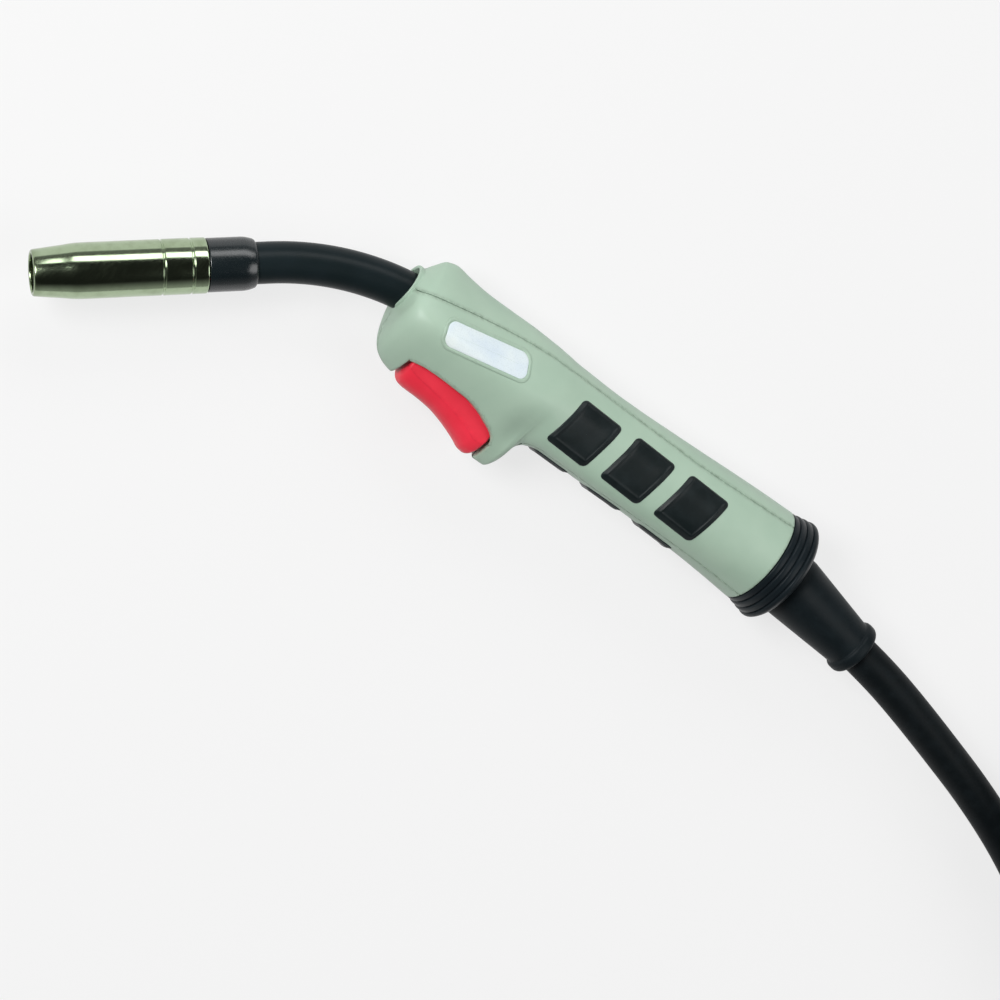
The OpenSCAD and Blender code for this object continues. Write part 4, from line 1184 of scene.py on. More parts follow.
@dataclass
class GripPads:
    """Soft pads let into both sides and the belly of the grip.

    Attributes:
        form: The handle's outer form.
        first_x: Place along x of the foremost pads.
        first_y: Height of the foremost side pads.
        pitch: Distance from pad to pad along x.
        rise: Rise from pad to pad.
        length: Length of a side pad along x.
        height: Height of a side pad.
        lean: How far the top leans back over the height.
        cushion_up: How far a side pad's cushion sits above the middle of its rim.
        belly_length: Length of a belly pad along x.
        belly_width: Width of a belly pad.
        belly_ahead: How far a belly pad lies ahead of the side pads.
        corner: Radius of a pad's corners.
        profile: Inset from a pad's edge and the pad's height over the shell there.
    """

    form: HandleForm
    first_x: float = -90.4
    first_y: float = -5.5
    pitch: float = 25.6
    rise: float = 1.2
    length: float = 19.0
    height: float = 20.8
    lean: float = 3.4
    cushion_up: float = 0.8
    belly_length: float = 16.4
    belly_width: float = 13.0
    belly_ahead: float = 0.6
    corner: float = 2.0
    profile: Array = field(default_factory=lambda: np.array([
        (0, -.7), (0, 0), (.1, .22), (.3, .36), (.6, .46), (1, .62), (1.3, .78), (1.55, .88),
        (1.75, .90), (1.95, .84), (2.2, .70), (2.6, .62), (3.2, .60), (4.4, .62), (5.8, .65),
        (7, .67), (8, .68), (8.7, .68), (9.1, .68)]))

    def _pad(self, name: str, node: str, half: tuple[float, float], up: float,
             lay: Layer) -> None:
        """Builds one pad: rounded rings laid on the surface, each lifted by the profile.

        The inner rings move up along with their inset, and the innermost one is filled by a
        tiny ring at the middle.

        Args:
            name: Name of the piece.
            node: CAD node that it stands for.
            half: Half its length and half its height.
            up: How far its inner rings move up.
            lay: Carries ring points and their lift onto the handle.
        """
        innermost, moved_within, rubbed_within, tiny = 0.4, 1.6, 0.5, 0.02
        inset, lift = self.profile.T
        inset = np.minimum(inset, min(half) - innermost)
        rings = rounded_rings(half[0], half[1], self.corner, inset, 9, 14)
        rings[..., 1] += up * np.clip(inset / moved_within, 0, 1)[:, None]
        rings = np.concatenate([rings, rings[-1:] * tiny])
        inset, lift = np.append(inset, inset[-1]), np.append(lift, lift[-1])
        edge = np.clip(1 - inset / rubbed_within, 0, 1)[:, None]
        mould = Mould(name).net(lay(rings, np.broadcast_to(lift[:, None], rings.shape[:2])),
                                wrap_columns=True, rub=edge)
        mould.piece(Finish.PAD, "handle", "soft_grip", (node,), crease=70, core=CORE)

    def _on_side(self, x: float, y: float, side: float) -> Layer:
        """What lays ring points round (x, y) on a side of the grip, leaning back upwards."""
        return lambda rings, lift: self.form.on_side(
            x + rings[..., 0] + rings[..., 1] * self.lean / self.height,
            y + rings[..., 1], lift, side)

    def _on_belly(self, x: float) -> Layer:
        """What lays ring points round x on the grip's belly."""
        return lambda rings, lift: self.form.on_belly(x + rings[..., 0], rings[..., 1], lift)

    def build(self) -> None:
        """Builds the three pads of each side and of the belly."""
        for i in range(3):
            x, y = self.first_x + i * self.pitch, self.first_y + i * self.rise
            for side, word in ((1.0, "right"), (-1.0, "left")):
                self._pad(f"{word}_grip_pad_{i + 1}", f"{word}_pad_{i + 1}",
                          (self.length / 2, self.height / 2), self.cushion_up,
                          self._on_side(x, y, side))
            self._pad(f"belly_grip_pad_{i + 1}", f"belly_pad_{i + 1}",
                      (self.belly_length / 2, self.belly_width / 2), 0.0,
                      self._on_belly(x - self.belly_ahead))


@dataclass
class BarePlate:
    """The bare plate on each side of the housing, in a raised moulded frame.

    Attributes:
        form: The handle's outer form.
        centre: Middle of the plate in x and y.
        long: Direction of its long side.
        short: Direction of its short side.
        half_long: Half its length.
        half_high: Half its height.
        corner: Radius of its corners.
        frame_rows: Inset from the plate's edge and lift of the frame's rings.
        plate_rows: Inset and lift of the plate's rings.
    """

    form: HandleForm
    centre: tuple[float, float] = (-140.6, -3.4)
    long: tuple[float, float] = (31.05, 7.25)
    short: tuple[float, float] = (-2.75, 8.25)
    half_long: float = 17.2
    half_high: float = 4.8
    corner: float = 3.2
    frame_rows: Array = field(default_factory=lambda: np.array([
        (-1.5, -.4), (-1.5, 0), (-1.35, .2), (-1.05, .32), (-.6, .34), (-.35, .28), (-.2, .1),
        (-.15, -.05), (-.15, -.4)]))
    plate_rows: Array = field(default_factory=lambda: np.array([
        (0, -.4), (0, .06), (.06, .12), (.2, .16), (.8, .16), (2, .16), (3.2, .16), (3.9, .16)]))

    def _rings(self, rows: Array, side: float, filled: bool) -> Array:
        """Rounded rings on the housing's side.

        Args:
            rows: Inset and lift of each ring.
            side: 1 for the right, -1 for the left.
            filled: Whether a last ring closes the middle to a line.

        Returns:
            Grid of points, shape (rings, points, 3).
        """
        inset, lift = rows.T
        rings = rounded_rings(self.half_long, self.half_high, self.corner, inset, 12, 24)
        if filled:
            rings = np.concatenate([rings, rings[-1:] * np.array([1.0, 0.02])])
            lift = np.append(lift, lift[-1])
        along, up = unit(np.array(self.long)), unit(np.array(self.short))
        x = self.centre[0] + rings[..., 0] * along[0] + rings[..., 1] * up[0]
        y = self.centre[1] + rings[..., 0] * along[1] + rings[..., 1] * up[1]
        return self.form.on_side(x, y, np.broadcast_to(lift[:, None], x.shape), side)

    def build(self) -> None:
        """Builds the frame and the plate on both sides."""
        for side, word in ((1.0, "right"), (-1.0, "left")):
            frame_grid = self._rings(self.frame_rows, side, False)
            Mould(f"{word}_plate_frame").net(frame_grid, wrap_columns=True, rub=0.25).piece(
                Finish.SHELL, "handle", "handle_shell", crease=60, core=CORE)
            plate_grid = self._rings(self.plate_rows, side, True)
            Mould(f"{word}_bare_plate").net(plate_grid, wrap_columns=True).piece(
                Finish.PLATE, "handle", "nickel_plate", crease=60, core=CORE)


@dataclass
class Trigger:
    """The finger trigger, with flat flanks and a hollow finger face.

    Attributes:
        pin_x: Place of the pin along x.
        top: Height of the trigger's upper side.
        half_width: Half its width.
        edge_round: Rounding of its ends.
        rows: Distance behind the pin, height of the flank's lower edge and of the lowest line.
        face: Share of the half width and of the face's depth there; past the flank's edge the
            face rises into a small ridge.
        columns: Points along the trigger between its rounded ends.
    """

    pin_x: float = -152.0
    top: float = -20.2
    half_width: float = 9.2
    edge_round: float = 1.0
    rows: Array = field(default_factory=lambda: np.array([
        (-5.6, -25.4, -29.2), (-4.6, -25.9, -31.3), (-3, -26.4, -32.5), (0, -26.9, -32.8),
        (6, -27.4, -32.7), (12, -28, -33), (18, -28.8, -34.1), (24, -30.2, -35.8),
        (28, -31.4, -37.2), (30.8, -32.4, -38.3), (33, -32.3, -38.4), (34.6, -31.6, -37.4),
        (35.7, -29.8, -34.4)], float))
    face: Array = field(default_factory=lambda: np.array([
        (0, 1), (.34, .93), (.66, .68), (.87, .30), (.945, .105), (.975, .02), (1, -.10)]))
    columns: int = 72

    def build(self) -> None:
        """Builds the trigger.

        Half a section runs from the top down the flank, round a small ridge and along the finger
        face to the lowest line. The face's depth is a fixed curve of its distance from the
        middle, with points that crowd towards the ridge as 1 - t^1.6. At both ends the section
        draws in by edge_round times (1 - cos a).
        """
        first, last, r = self.rows[0, 0], self.rows[-1, 0], self.edge_round
        a = np.linspace(0, np.pi / 2, 8)
        dx = np.concatenate([first + r * (1 - np.sin(a[::-1])),
                             np.linspace(first + r, last - r, self.columns + 2)[1:-1],
                             last - r * (1 - np.sin(a))])
        dx = np.maximum.accumulate(dx + np.arange(dx.size) * 1e-6)
        inset = np.concatenate([r * (1 - np.cos(a[::-1])), np.zeros(self.columns),
                                r * (1 - np.cos(a))])
        edge, low = smooth_through(self.rows[:, 0], self.rows[:, 1:], dx).T
        across = 1 - np.linspace(1, 0, 26) ** 1.6
        across = np.concatenate([across[:-1], [0.985, 1.0]])[::-1, None]
        depth = smooth_through(self.face[:, 0], self.face[:, 1:], across[:, 0])
        flank = np.linspace(0, 1, 8)[:-1, None]
        half = self.half_width - inset
        low = low + inset
        flank_end = edge - self.face[-1, 1] * (edge - low)
        z = np.vstack([half + 0 * flank, across * half])
        y = np.vstack([self.top + (flank_end - self.top) * flank, edge + (low - edge) * depth])
        z = np.vstack([z, -z[::-1][1:]])
        y = np.vstack([y, y[::-1][1:]])
        grid = np.stack([np.broadcast_to(self.pin_x + dx, z.shape), y, z], axis=-1)
        caps = np.broadcast_to(grid.mean(axis=0) * [1, 1, 0], grid.shape)
        grid = np.concatenate([caps[:, :1], grid, caps[:, -1:]], axis=1)
        from_ridge = np.abs(np.arange(grid.shape[0])[:, None] - (flank.size + 1))
        rubbed_rows = 3.0
        ridge = np.clip(1 - from_ridge / rubbed_rows, 0, 1)
        mould = Mould("finger_trigger").net(grid, wrap_rows=True, rub=ridge * 0.5)
        mould.piece(Finish.TRIGGER, "trigger", "trigger_red", ("trigger",), crease=28)


# -------------------- neck and nozzle
@dataclass
class SwanNeck:
    """The bent neck with its sleeving, the head's sleeve and the gas nozzle.

    Attributes:
        bend_x: Where the bend starts.
        height: Height of the straight end in the handle.
        radius: Radius of the bend.
        angle: Angle of the bend in degrees.
        head: Length of the straight end, from the bend to the nozzle's mouth.
        jacket: Radius of the sleeving.
        nozzle: Length of the nozzle.
        barrel: Radius of the nozzle.
        mouth: Radius of the bore at the nozzle's mouth.
        sleeve: Length of the head's sleeve.
        under_sleeve: Distance behind the nozzle at which the sleeving starts.
        past_bend: How far the sleeving runs on behind the bend.
    """

    bend_x: float = -152.8
    height: float = -2.1
    radius: float = 107.0
    angle: float = 39.5
    head: float = 86.4
    jacket: float = 7.7
    nozzle: float = 63.0
    barrel: float = 10.2
    mouth: float = 7.0
    sleeve: float = 18.0
    under_sleeve: float = 13.0
    past_bend: float = 4.0

    @property
    def axis(self) -> Axis:
        """The head's axis.

        Returns:
            The axis, from the nozzle's mouth towards the handle.
        """
        a = np.radians(self.angle)
        x = self.bend_x - self.radius * np.sin(a) - self.head * np.cos(a)
        y = self.height - self.radius * (1 - np.cos(a)) - self.head * np.sin(a)
        return Axis((float(x), float(y), 0.0), self.angle)

    def sleeving(self) -> None:
        """The tube that follows the neck: straight, round the bend and into the handle.

        The centre line leaves the head along its axis, turns with the bend's radius about a
        centre under it and ends level; rings of the sleeving's radius stand square to it.
        """
        a = np.radians(self.angle)
        ahead = self.axis.directions()[0]
        straight = np.linspace(self.head - (self.nozzle + self.under_sleeve), 0, 6)[:-1]
        line = np.array(self.axis.origin) + (self.head - straight)[:, None] * ahead
        bend = np.linspace(a, 0, 60)
        arc = np.stack([self.bend_x - self.radius * np.sin(bend),
                        self.height - self.radius * (1 - np.cos(bend)), 0 * bend], axis=1)
        end = np.array([[self.bend_x + self.past_bend, self.height, 0.0]])
        lean = np.concatenate([np.full(len(line), a), bend, [0.0]])
        square = np.stack([-np.sin(lean), np.cos(lean), 0 * lean], axis=1)
        grid = tube(np.vstack([line, arc, end]), square, np.broadcast_to(UP, square.shape),
                    self.jacket, 72)
        mould = Mould("neck_sleeving").net(grid, wrap_columns=True)
        mould.piece(Finish.JACKET, "handle", "neck_jacket", ("neck_jacket",), crease=60)

    def head_sleeve(self) -> None:
        """The black sleeve behind the nozzle, with a rounded rear end."""
        s = self.nozzle + 0.3
        e, j = s + self.sleeve, self.jacket
        outline = softened_loop([
            (s + .3, 8.2, 0), (s, 8.2, .2), (s, 9.85, .5), (e - 3.8, 9.85, 1.6),
            (e - .4, 8.9, 1.0), (e, j + .05, .3), (e - 1.2, j, 0)], 7)
        mould = Mould("head_sleeve_cover").solid(self.axis, outline, 112)
        mould.piece(Finish.SLEEVE, "handle", "black_nylon", ("head_sleeve",), crease=60)

    def _groove(self, x: float) -> list[Triple]:
        """Corners of a fine groove, 1 mm wide, that starts at x on the nozzle's barrel."""
        r = self.barrel
        return [(x, r, .15), (x + .25, r - .35, .1), (x + .75, r - .35, .1), (x + 1.0, r, .15)]

    def gas_nozzle(self) -> None:
        """The turned gas nozzle: tapered mouth, two fine grooves and a stepped bore."""
        n, r, m = self.nozzle, self.barrel, self.mouth
        outline = softened_loop([
            (8.0, m, 0), (.35, m, .35), (0, m + .35, .2), (0, m + 1.0, .35), (.45, 8.42, .4),
            (5.4, 9.0, 2.0), (10.6, 9.5, 2.0), (14.6, r - .15, 1.6), (18, r, 1.6),
            *self._groove(n - 16.7), *self._groove(n - 6.1), (n - .3, r, .35), (n, r - .3, .2),
            (n, 8.3, .2), (n - .3, 8.1, .15), (12.2, 8.1, .6)], 6)
        mould = Mould("gas_nozzle_tube").solid(self.axis, outline, 144, rub=self._soot(outline))
        mould.piece(Finish.NICKEL, "nozzle", "nickel_plate", ("nozzle",), crease=32)

    @staticmethod
    def _soot(outline: Array) -> Array:
        """How sooty the nozzle is.

        Args:
            outline: Outline points (along, radius) of the nozzle.

        Returns:
            1 inside the bore and at the mouth, falling to 0 within 3 mm on the outside.
        """
        bore_within, reach = 8.25, 3.0
        outside = np.clip(1 - outline[:, 0] / reach, 0, 1)
        return np.where(outline[:, 1] < bore_within, 1.0, outside)[:, None]

    def build(self) -> None:
        """Builds the neck's visible pieces."""
        self.sleeving()
        self.head_sleeve()
        self.gas_nozzle()


# -------------------- swivel and lead
@dataclass
class SwivelCollar:
    """The ribbed collar at the rear of the grip.

    Attributes:
        front: Radius of the foremost rib.
        widest: Radius of the last rib.
        ribs: Number of ribs.
        pitch: Distance from rib to rib.
        length: Length behind the grip.
        spigot: Length of the part that sits in the grip.
    """

    front: float = 20.2
    widest: float = 22.0
    ribs: int = 4
    pitch: float = 2.9
    length: float = 13.2
    spigot: float = 6.0

    def build(self) -> None:
        """Builds the collar: stepped ribs, a smooth rounded rear and its dished mouth."""
        n, p = self.length, -self.spigot
        corners = [(p, 15.0, 0), (p, 17.9, .2), (0, 17.9, .1), (0, 19.3, .1)]
        for i in range(self.ribs):
            x = 0.5 + self.pitch * i
            r = self.front + (self.widest - self.front) * i / (self.ribs - 1)
            corners += [(x - .15, r - .85, .12), (x + .05, r - .12, .3), (x + .7, r, .3)]
            if i < self.ribs - 1:
                corners += [(x + 2.3, r, .25), (x + 2.45, r - .85, .12)]
            else:
                corners += [(x + 1.6, r - .15, .6), (x + 2.8, r - 1.3, .9), (x + 3.9, r - 3.0, .8)]
        corners += [(n, 18.0, .5), (n, 17.0, .4), (n - .6, 16.4, .4), (6.3, 14.6, .5),
                    (5.9, 13.9, .3), (p, 13.9, .2)]
        mould = Mould("swivel_collar").solid(Axis((0, 0, 0), 0.0), softened_loop(corners, 5), 144)
        mould.piece(Finish.COLLAR, "handle", "black_nylon", ("rear_collar",), crease=45)


@dataclass
class KinkGuard:
    """The tapered rubber guard over the end of the lead.

    Attributes:
        length: Distance of its end from the swivel's centre.
        tip: Radius in front of the bead round its end.
        angle: Heading of its axis in degrees.
    """

    length: float = 57.0
    tip: float = 10.1
    angle: float = -6.5

    def build(self) -> None:
        """Builds the guard: swelling front, long taper and a bead round its end."""
        n, r = self.length, self.tip
        outline = softened_loop([
            (10, 8.0, 0), (10, 10.6, .3), (11, 11.1, .8), (15.5, 12.6, 1.5), (18.4, 13.2, 1.5),
            (22, 12.9, 2.5), (n - 6.0, r, 2.0), (n - 5.2, r + .1, .4), (n - 4.7, r + .8, .5),
            (n - 3.9, r + 1.15, .6), (n - 1.6, r + 1.15, .7), (n - .4, r + .6, .6),
            (n, r - .5, .5), (n, 7.9, .3)], 9)
        mould = Mould("kink_guard").solid(Axis((0, 0, 0), self.angle), outline, 112)
        mould.piece(Finish.SUPPORT, "cable", "support_rubber", ("cable_support",), crease=60)


@dataclass
class Lead:
    """The torch's lead: from the kink guard over the bench, folded into a hank, to the connector.

    Attributes:
        guard: The guard that it leaves.
        radius: Half the lead's diameter.
        start: Where the hank's first run starts, in x and y.
        run: Length of the straight runs.
        fold: Radius of the folds.
        pitch: Height from turn to turn.
        turns: Turns that lie on each other.
        climb: Length of the second run over which the lead starts to climb.
        rest: Length of the last run that lies on the first.
        rise: Length over which it then climbs to the connector, which lies on the hank.
        end_height: Height of the connector's axis over the bench.
        tail: Straight length in front of the connector.
        inside: How far the lead reaches into the connector.
        straight: Straight length behind the guard.
        free: Chosen points of the free stretch: x, y and height over the bench.
    """

    guard: KinkGuard
    radius: float = 7.7
    start: tuple[float, float] = (222.0, -55.0)
    run: float = 294.0
    fold: float = 47.5
    pitch: float = 15.9
    turns: int = 3
    climb: float = 110.0
    rest: float = 30.0
    rise: float = 110.0
    end_height: float = 70.9
    tail: float = 18.0
    inside: float = 40.0
    straight: float = 9.0
    free: Array = field(default_factory=lambda: np.array([
        (76, -8.9, 21.3), (86, -10.6, 20.2), (96, -12.5, 18.8), (106, -14.5, 17.2),
        (118, -17, 15.2), (130, -19.6, 13.3), (142, -22.6, 11.6), (155, -26.4, 10.1),
        (168, -30.9, 8.8), (181, -36.3, 8), (194, -42.2, 7.75), (207, -47.8, 7.7),
        (220, -52.2, 7.7), (233, -54.5, 7.7), (240, -55, 7.7), (252, -55, 7.7)], float))

    @staticmethod
    def _ease(t: Array) -> Array:
        """0 to 1 along 3 t^2 - 2 t^3, held at both ends."""
        t = np.clip(t, 0, 1)
        return t * t * (3 - 2 * t)

    def _turn(self, n: int) -> Array:
        """One turn of the hank.

        First run, first fold, second run and second fold, by distance. The height grows by one
        pitch over the end of the second run and half of the second fold, easing in and out.

        Args:
            n: Number of the turn, from 0 at the bottom.

        Returns:
            Points of the centre line with their height over the bench, shape (points, 3).
        """
        x0, y0 = self.start
        bow = np.pi * self.fold
        middle = y0 + self.fold
        on_run, on_fold = 24, 36
        far = steps((0, self.run, on_run), (self.run, self.run + bow, on_fold),
                    (self.run + bow, 2 * self.run + bow, on_run),
                    (2 * self.run + bow, 2 * (self.run + bow), on_fold))[:-1]
        first = np.clip(far - self.run, 0, bow) / self.fold - np.pi / 2
        second = np.clip(far - 2 * self.run - bow, 0, bow) / self.fold + np.pi / 2
        back = np.clip(far - self.run - bow, 0, self.run)
        late = far > 1.5 * self.run + bow
        angle = np.where(far > 2 * self.run + bow, second, np.minimum(first, np.pi / 2))
        base = np.where(far < self.run, x0 + far, x0 + self.run - back)
        x = base + np.where(far < self.run, 0.0, self.fold * np.cos(angle))
        y = middle + self.fold * np.sin(angle)
        climbed = (far - (2 * self.run + bow - self.climb)) / (self.climb + bow / 2)
        height = self.radius + self.pitch * (n + self._ease(climbed * late))
        return np.stack([x, y, height], axis=1)

    def route(self) -> Array:
        """Lays the lead's centre line from the guard over the bench to the connector.

        Returns:
            Its points in torch millimetres, shape (points, 3).
        """
        way = Axis((0, 0, 0), self.guard.angle).directions()[0]
        lift, end = AXIS_HEIGHT * UP, self.guard.length
        knots = np.vstack([way * end + lift, way * (end + self.straight) + lift, self.free])
        far = np.concatenate([[0], np.cumsum(np.linalg.norm(np.diff(knots, axis=0), axis=1))])
        front = self._spline(far, knots, np.linspace(0, far[-1], 91))
        hank = np.vstack([self._turn(n) for n in range(self.turns)])
        hank = hank[np.argmax(hank[:, 0] > self.free[-1, 0] + 4):]
        x0, y0 = self.start
        top = self.radius + self.pitch * self.turns
        on = np.linspace(0, self.rest + self.rise, 49)
        climb = (self.end_height - top) * self._ease((on - self.rest) / self.rise)
        last = np.stack([x0 + on, np.full_like(on, y0), top + climb], axis=1)
        ahead = np.linspace(0, self.tail + self.inside, 9)[1:, None]
        tail = last[-1] + np.array([1.0, 0, 0]) * ahead
        return np.vstack([front, hank, last, tail]) - lift

    @staticmethod
    def _spline(far: Array, knots: Array, at: Array) -> Array:
        """A natural cubic spline through knots, which is straight at both its ends.

        Args:
            far: Distances of the knots along the line.
            knots: The knots, shape (n, 3).
            at: Distances to read.

        Returns:
            Points at those distances.
        """
        n, h = len(far), np.diff(far)
        system, right = np.eye(n), np.zeros((n, 3))
        rows = np.arange(1, n - 1)
        system[rows, rows - 1] = h[:-1]
        system[rows, rows] = 2 * (h[:-1] + h[1:])
        system[rows, rows + 1] = h[1:]
        rise = np.diff(knots, axis=0) / h[:, None]
        right[1:-1] = 6 * np.diff(rise, axis=0)
        bend = np.linalg.solve(system, right)
        i = np.clip(np.searchsorted(far, at, side="right") - 1, 0, n - 2)
        a, b, s = (far[i + 1] - at)[:, None], (at - far[i])[:, None], h[i][:, None]
        return ((bend[i] * a ** 3 + bend[i + 1] * b ** 3) / (6 * s)
                + (knots[i] / s - bend[i] * s / 6) * a
                + (knots[i + 1] / s - bend[i + 1] * s / 6) * b)

    def build(self, on_it: list[str | bpy.types.Object]) -> None:
        """Args:
            on_it: Pieces and nodes of the connector at its far end; not used.
        """
        line = self.route()
        heading = unit(np.gradient(line, axis=0))
        side = unit(np.cross(UP, heading))
        grid = tube(line, side, np.cross(heading, side), self.radius, 40)
        mould = Mould("torch_lead").net(grid, wrap_columns=True)
        lead = mould.piece(Finish.LEAD, "cable", "cable_jacket",
                           ("cable_front", "cable_coil", "plug_cable"), crease=70)


@dataclass
class Connector:
    """The central connector at the lead's far end, along its own axis.

    Attributes:
        origin: Where the lead enters, in torch millimetres.
        housing: Start of the housing along the axis.
        length: Length of the housing.
        radius: Radius of the housing.
        nut: Radius of the union nut.
        nut_ahead: How far the nut reaches forward over the housing.
        grips: Flutes of the union nut.
        flute_depth: Depth of a flute.
    """

    origin: Triple = (380.0, -55.0, 48.9)
    housing: float = 34.0
    length: float = 65.0
    radius: float = 20.0
    nut: float = 23.4
    nut_ahead: float = 18.0
    grips: int = 16
    flute_depth: float = 1.05

    @property
    def axis(self) -> Axis:
        """The connector's axis, which points along x."""
        return Axis(self.origin, 0.0)

    def build(self) -> list[str | bpy.types.Object]:
        """Builds the boot, the housing and the union nut.

        Returns:
            Every piece and node that stays on the lead's end.
        """
        s, r = self.housing, self.radius
        e = s + self.length
        outline = softened_loop([
            (0, 7.8, 0), (0, 10.1, .5), (.9, 10.95, .5), (4.3, 10.95, .5), (5.2, 10.2, .5),
            (6.6, 10.2, 1.0), (s - .4, 16.6, 2.0), (s + 4, 17.0, .5), (s + 4, 7.8, .4)], 8)
        boot = Mould("connector_boot").solid(self.axis, outline, 96).piece(
            Finish.SUPPORT, "cable", "support_rubber", ("plug_boot",), crease=60)
        outline = softened_loop([
            (s, 17.1, 0), (s, 18.4, .8), (s + 1, 19.5, .8), (s + 3, r, 1.2), (e - 18.6, r, .4),
            (e - 18.4, r - .3, .2), (e - 17.9, r - .3, .2), (e - 17.7, r, .2), (e - 4, r, .2),
            (e - 4, r + 1.2, .4), (e, r + 1.2, .4), (e, 18.2, .3)], 7)
        housing = Mould("connector_housing").solid(self.axis, outline, 128).piece(
            Finish.COLLAR, "cable", "black_nylon", ("plug_housing",), crease=45)
        return [boot, housing, self._nut(e), "housing_screws", "plug_face", "centre_plug",
                "gas_o_ring", "contact_pin_a", "contact_pin_b", "liner_nut"]

    def _nut(self, e: float) -> bpy.types.Object:
        """The union nut, whose flutes sink as a smooth wave round its outside.

        With w = cos(flutes x turn), the depth goes as the root of (w - flat) / (1 - flat) where
        w is over flat, and is 0 between the flutes.

        Args:
            e: End of the housing along the axis.

        Returns:
            The nut.
        """
        s, r = e - self.nut_ahead, self.nut
        outline = softened_loop([
            (s, 20.1, 0), (s, 22.6, .6), (s + .8, r, .8), (s + 3.2, r, .3),
            (s + 4.4, r - .02, .3), (e + 11.6, r, .3), (e + 13.2, r, .8), (e + 14, 22.5, .5),
            (e + 14, 21.6, .4), (e - 4.2, 21.6, .3), (e - 4.4, 20.1, .3)], 8)
        flat, outside, fade_from, fade_over = 0.35, 22.0, 3.0, 1.6
        count = self.grips * 12
        turn = np.linspace(0, 2 * np.pi, count, endpoint=False)
        wave = np.clip((np.cos(turn * self.grips) - flat) / (1 - flat), 0, 1) ** 0.5
        deep = np.clip((outline[:, 0] - s - fade_from) / fade_over, 0, 1)
        deep = deep * (outline[:, 1] > outside)
        ridge = -self.flute_depth * deep[:, None] * wave[None, :]
        mould = Mould("fluted_union_nut").solid(self.axis, outline, count, ridge)
        return mould.piece(Finish.COLLAR, "union_nut", "black_nylon", ("union_nut",),
                           crease=40)


@dataclass
class HankTies:
    """Two hook-and-loop straps that hold the hank's runs together.

    Attributes:
        half_width: Half the outside width of a strap.
        band: Width of the strap along the lead.
        thick: Its thickness.
        corner: Radius of its corners.
        lifted: Gap between the bench and a strap's lower side.
        places: Middle of each strap in x and y, and the height of its upper side.
    """

    half_width: float = 9.0
    band: float = 20.0
    thick: float = 1.2
    corner: float = 8.0
    lifted: float = 0.2
    places: tuple[Triple, ...] = ((243.0, -55.0, 64.8), (470.0, 40.0, 49.0))

    def build(self) -> list[bpy.types.Object]:
        """Builds the straps: rounded rings round the stacked runs, carried along the lead.

        Returns:
            The straps.
        """
        made = []
        for number, (x, y, top) in enumerate(self.places, 1):
            middle = top / 2 + self.lifted - AXIS_HEIGHT
            inset = np.array([self.thick, .25, 0, 0, .25, self.thick, self.thick])
            reach = self.band / 2 * np.array([-1, -1, -.96, .96, 1, 1, -1])
            rings = rounded_rings(self.half_width, top / 2, self.corner, inset, 14, 10)
            grid = np.stack([np.broadcast_to(x + reach[:, None], rings.shape[:2]),
                             y + rings[..., 0], middle + rings[..., 1]], axis=-1)
            mould = Mould(f"hank_tie_{number}").net(grid, wrap_columns=True)
            made.append(mould.piece(Finish.TIE, "cable", "black_nylon", crease=50))
        return made


# -------------------- kept solids
NODE_FINISH = {
    "shell_screws": Finish.BLACK_STEEL, "race_clip": Finish.STEEL, "swivel_race": Finish.BEARING,
    "inner_carrier": Finish.COLLAR, "trigger_pin": Finish.STEEL, "trigger_spring": Finish.STEEL,
    "switch_body": Finish.SWITCH, "switch_plunger": Finish.PLUNGER, "switch_leads": Finish.WIRE,
    "neck_clamp": Finish.BRASS, "neck_tube": Finish.COPPER, "nozzle_insulator": Finish.INSULATOR,
    "nozzle_spring": Finish.STEEL, "gas_diffuser": Finish.BRASS, "tip_holder": Finish.BRASS,
    "contact_tip": Finish.COPPER, "wire_liner": Finish.STEEL, "inner_cable": Finish.LEAD,
    "swivel_ball": Finish.COLLAR, "cable_core": Finish.LEAD, "housing_screws": Finish.STEEL,
    "plug_face": Finish.BEARING, "centre_plug": Finish.BRASS, "gas_o_ring": Finish.SEAL,
    "contact_pin_a": Finish.BRASS, "contact_pin_b": Finish.BRASS, "liner_nut": Finish.BRASS}


def dress_kept_solids() -> None:
    """Gives each CAD node that stays in view its finish."""
    for name, finish in NODE_FINISH.items():
        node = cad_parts[name]
        node.data.materials.clear()
        node.data.materials.append(finish.material())
    log.info("kept solids: %d dressed", len(NODE_FINISH))


# -------------------- studio
@dataclass(frozen=True)
class Camera:
    """The camera, given by the torch's directions as it sees them.

    Attributes:
        side: Side of the square image in pixels.
        focal: Focal length in pixels.
        sensor: Width of the sensor in millimetres.
        x_seen: The torch's x direction: right, down and away from the camera.
        z_seen: The torch's z direction.
        origin_seen: The torch's zero point in millimetres.
    """

    side: float = 1000.0
    focal: float = 3600.0
    sensor: float = 36.0
    x_seen: Triple = (0.754, 0.579, 0.309)
    z_seen: Triple = (0.2535, 0.1775, -0.951)
    origin_seen: Triple = (98.816, 20.626, 1375.099)

    def build(self) -> None:
        """Places the camera so that the torch has those directions in its view."""
        z = unit(np.array(self.z_seen))
        x = unit(np.array(self.x_seen) - z * float(np.dot(self.x_seen, z)))
        seen = np.stack([x, np.cross(z, x), z])
        place = -seen @ np.array(self.origin_seen)
        right, down, ahead = seen[:, 0], seen[:, 1], seen[:, 2]
        data = bpy.data.cameras.new("bench_camera")
        data.sensor_width = self.sensor
        data.lens = self.focal * self.sensor / self.side
        data.clip_end = 50.0
        camera = bpy.data.objects.new("bench_camera", data)
        world = Matrix.Identity(4)
        for row in range(3):
            world[row][0], world[row][1], world[row][2] = right[row], -down[row], -ahead[row]
            world[row][3] = float(to_metres(place)[row])
        camera.matrix_world = world
        bpy.context.scene.collection.objects.link(camera)
        bpy.context.scene.camera = camera


